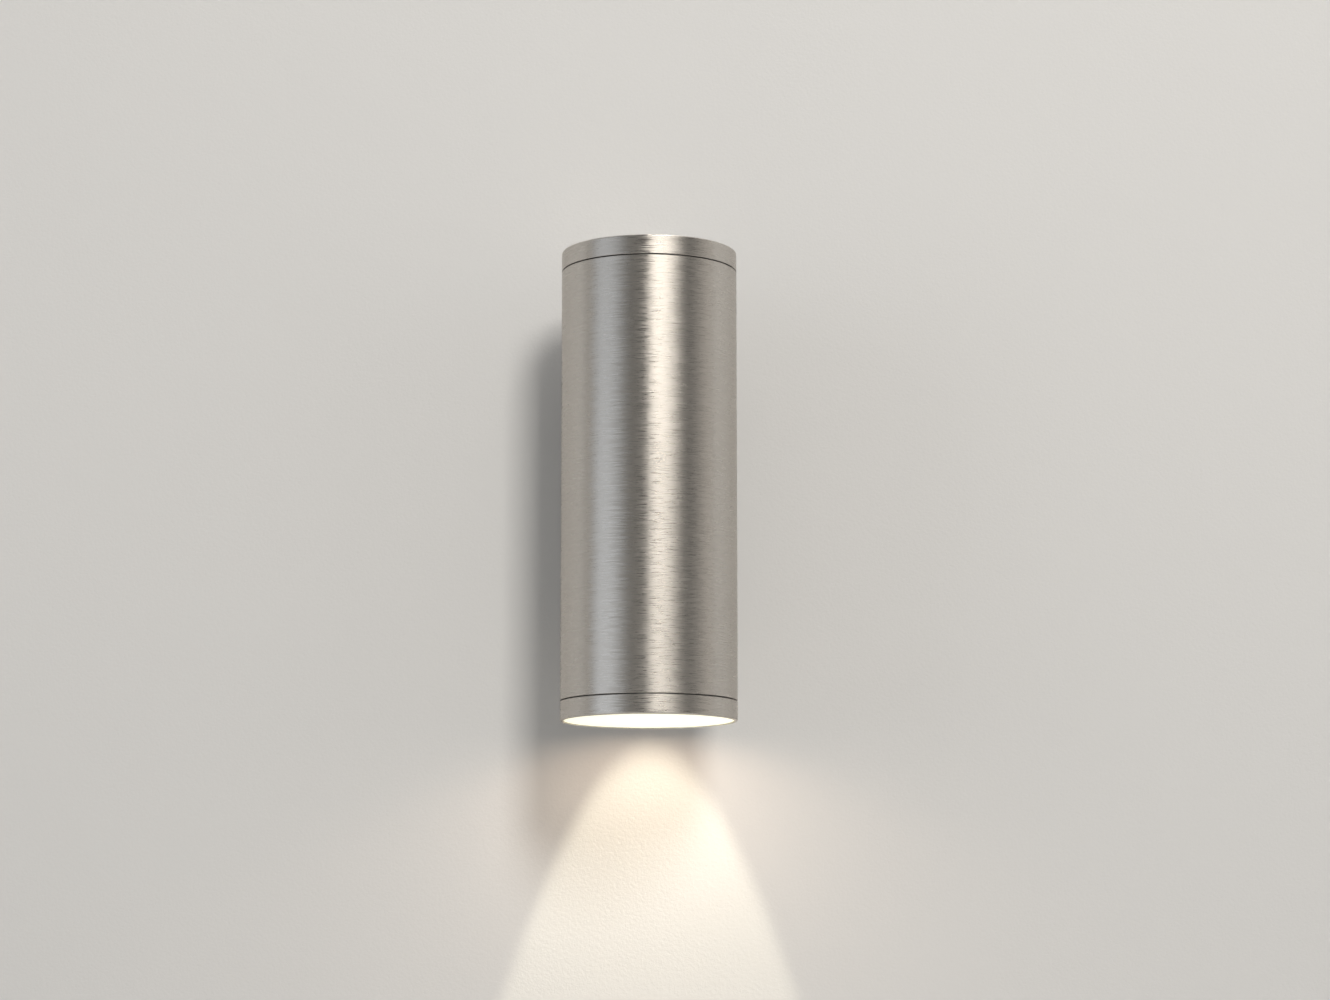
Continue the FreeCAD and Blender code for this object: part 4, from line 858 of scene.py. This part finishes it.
def make_world():
    """Pale where the camera, the metal and the glass look, and a plain soft level of light."""
    world = bpy.data.worlds.new("room")
    bpy.context.scene.world = world
    world.use_nodes = True
    tree = world.node_tree
    tree.nodes.clear()
    out = tree.nodes.new("ShaderNodeOutputWorld")
    path = tree.nodes.new("ShaderNodeLightPath")
    seen = path.outputs["Is Camera Ray"]
    for kind in ("Is Glossy Ray", "Is Transmission Ray"):
        either = tree.nodes.new("ShaderNodeMath")
        either.operation = "MAXIMUM"
        tree.links.new(seen, either.inputs[0])
        tree.links.new(path.outputs[kind], either.inputs[1])
        seen = either.outputs[0]
    soft = tree.nodes.new("ShaderNodeBackground")
    soft.inputs["Color"].default_value = (*SOFT_ROOM, 1.0)
    pale = tree.nodes.new("ShaderNodeBackground")
    pale.inputs["Color"].default_value = (*PALE_ROOM, 1.0)
    choice = tree.nodes.new("ShaderNodeMixShader")
    tree.links.new(seen, choice.inputs[0])
    tree.links.new(soft.outputs[0], choice.inputs[1])
    tree.links.new(pale.outputs[0], choice.inputs[2])
    tree.links.new(choice.outputs[0], out.inputs["Surface"])


def towards(azimuth, elevation, distance):
    """The place at a distance from the light, by azimuth to the right and elevation."""
    a, e = math.radians(azimuth), math.radians(elevation)
    across = distance * math.cos(e)
    return TUBE_AXIS + Vector((math.sin(a) * across, -math.cos(a) * across,
                               distance * math.sin(e)))


def make_lamp(name, kind, place, aim, power, colour):
    """A lamp at a place, pointed at another, that the camera doesn't see."""
    lamp = bpy.data.lights.new(name, kind)
    lamp.energy = power
    lamp.color = colour
    holder = bpy.data.objects.new(name, lamp)
    holder.location = place
    holder.rotation_mode = "QUATERNION"
    holder.rotation_quaternion = (Vector(aim) - Vector(place)).to_track_quat("-Z", "Y")
    holder.visible_camera = False
    bpy.context.scene.collection.objects.link(holder)
    return holder


def make_softbox(name, place, width, height, power, colour):
    """A flat rectangular lamp that faces the light."""
    box = make_lamp(name, "AREA", place, TUBE_AXIS, power, colour)
    box.data.shape = "RECTANGLE"
    box.data.size = width
    box.data.size_y = height
    return box


def make_lights(wall, floor):
    """Soft studio light on everything, and the light's own beam on the wall and floor."""
    for name, azimuth, elevation, width, height, power, colour in SOFTBOXES:
        place = towards(azimuth, elevation, SOFTBOX_DISTANCE)
        make_softbox(name, place, width, height, power, colour).visible_glossy = False

    # what the lamp throws on the wall: a narrow beam from high inside the tube, and its spill
    lit = bpy.data.collections.new("lit_by_beam")
    blocking = bpy.data.collections.new("blocks_beam")
    lit.objects.link(wall)
    lit.objects.link(floor)
    blocking.objects.link(floor)
    below_lens = TUBE_AXIS + Vector((0, 0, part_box("lens")[0].z))
    for name, height, half_angle, blend, power, colour in BEAMS:
        place = below_lens + Vector((0, 0, height))
        beam = make_lamp(name, "SPOT", place, place - Vector((0, 0, 1)), power, colour)
        beam.data.spot_size = math.radians(2 * half_angle)
        beam.data.spot_blend = blend
        beam.data.shadow_soft_size = 0.0
        light_only(beam, lit, blocking)

    # the opal lens itself, which lights the wall softly from just below
    place = below_lens - Vector((0, 0, 0.0005))
    glow = make_lamp("lens_glow", "AREA", place, place - Vector((0, 0, 1)), LENS_GLOW, SPILL_LIGHT)
    glow.data.shape = "DISK"
    glow.data.size = 1.9 * TUBE_RADIUS
    glow.visible_glossy = False
    light_only(glow, lit, blocking)


def light_only(lamp, lit, blocking):
    """Lets a lamp light some pieces alone, and only some pieces block it."""
    lamp.light_linking.receiver_collection = lit
    lamp.light_linking.blocker_collection = blocking


def make_camera():
    """The camera, a little below the light and looking up, as in the photograph."""
    camera = bpy.data.cameras.new("camera")
    camera.lens = CAMERA_LENS
    camera.sensor_width = 36.0
    camera.clip_start, camera.clip_end = 0.01, 30.0
    holder = bpy.data.objects.new("camera", camera)
    holder.location = CAMERA_PLACE
    holder.rotation_euler = (math.radians(90 + CAMERA_PITCH), 0, 0)
    bpy.context.scene.collection.objects.link(holder)
    bpy.context.scene.camera = holder


# ---- put together -------------------------------------------------------------------------------

dress_nodes()
make_lens()
make_side_screws()
make_side_washers()
make_wall_gasket()
make_wall_plate()
make_cable_bush()
make_lamp_housing()
wall_piece = make_wall()
floor_piece = make_floor()
make_surround()
make_world()
make_lights(wall_piece, floor_piece)
make_camera()
bpy.context.scene.view_settings.view_transform = "Standard"
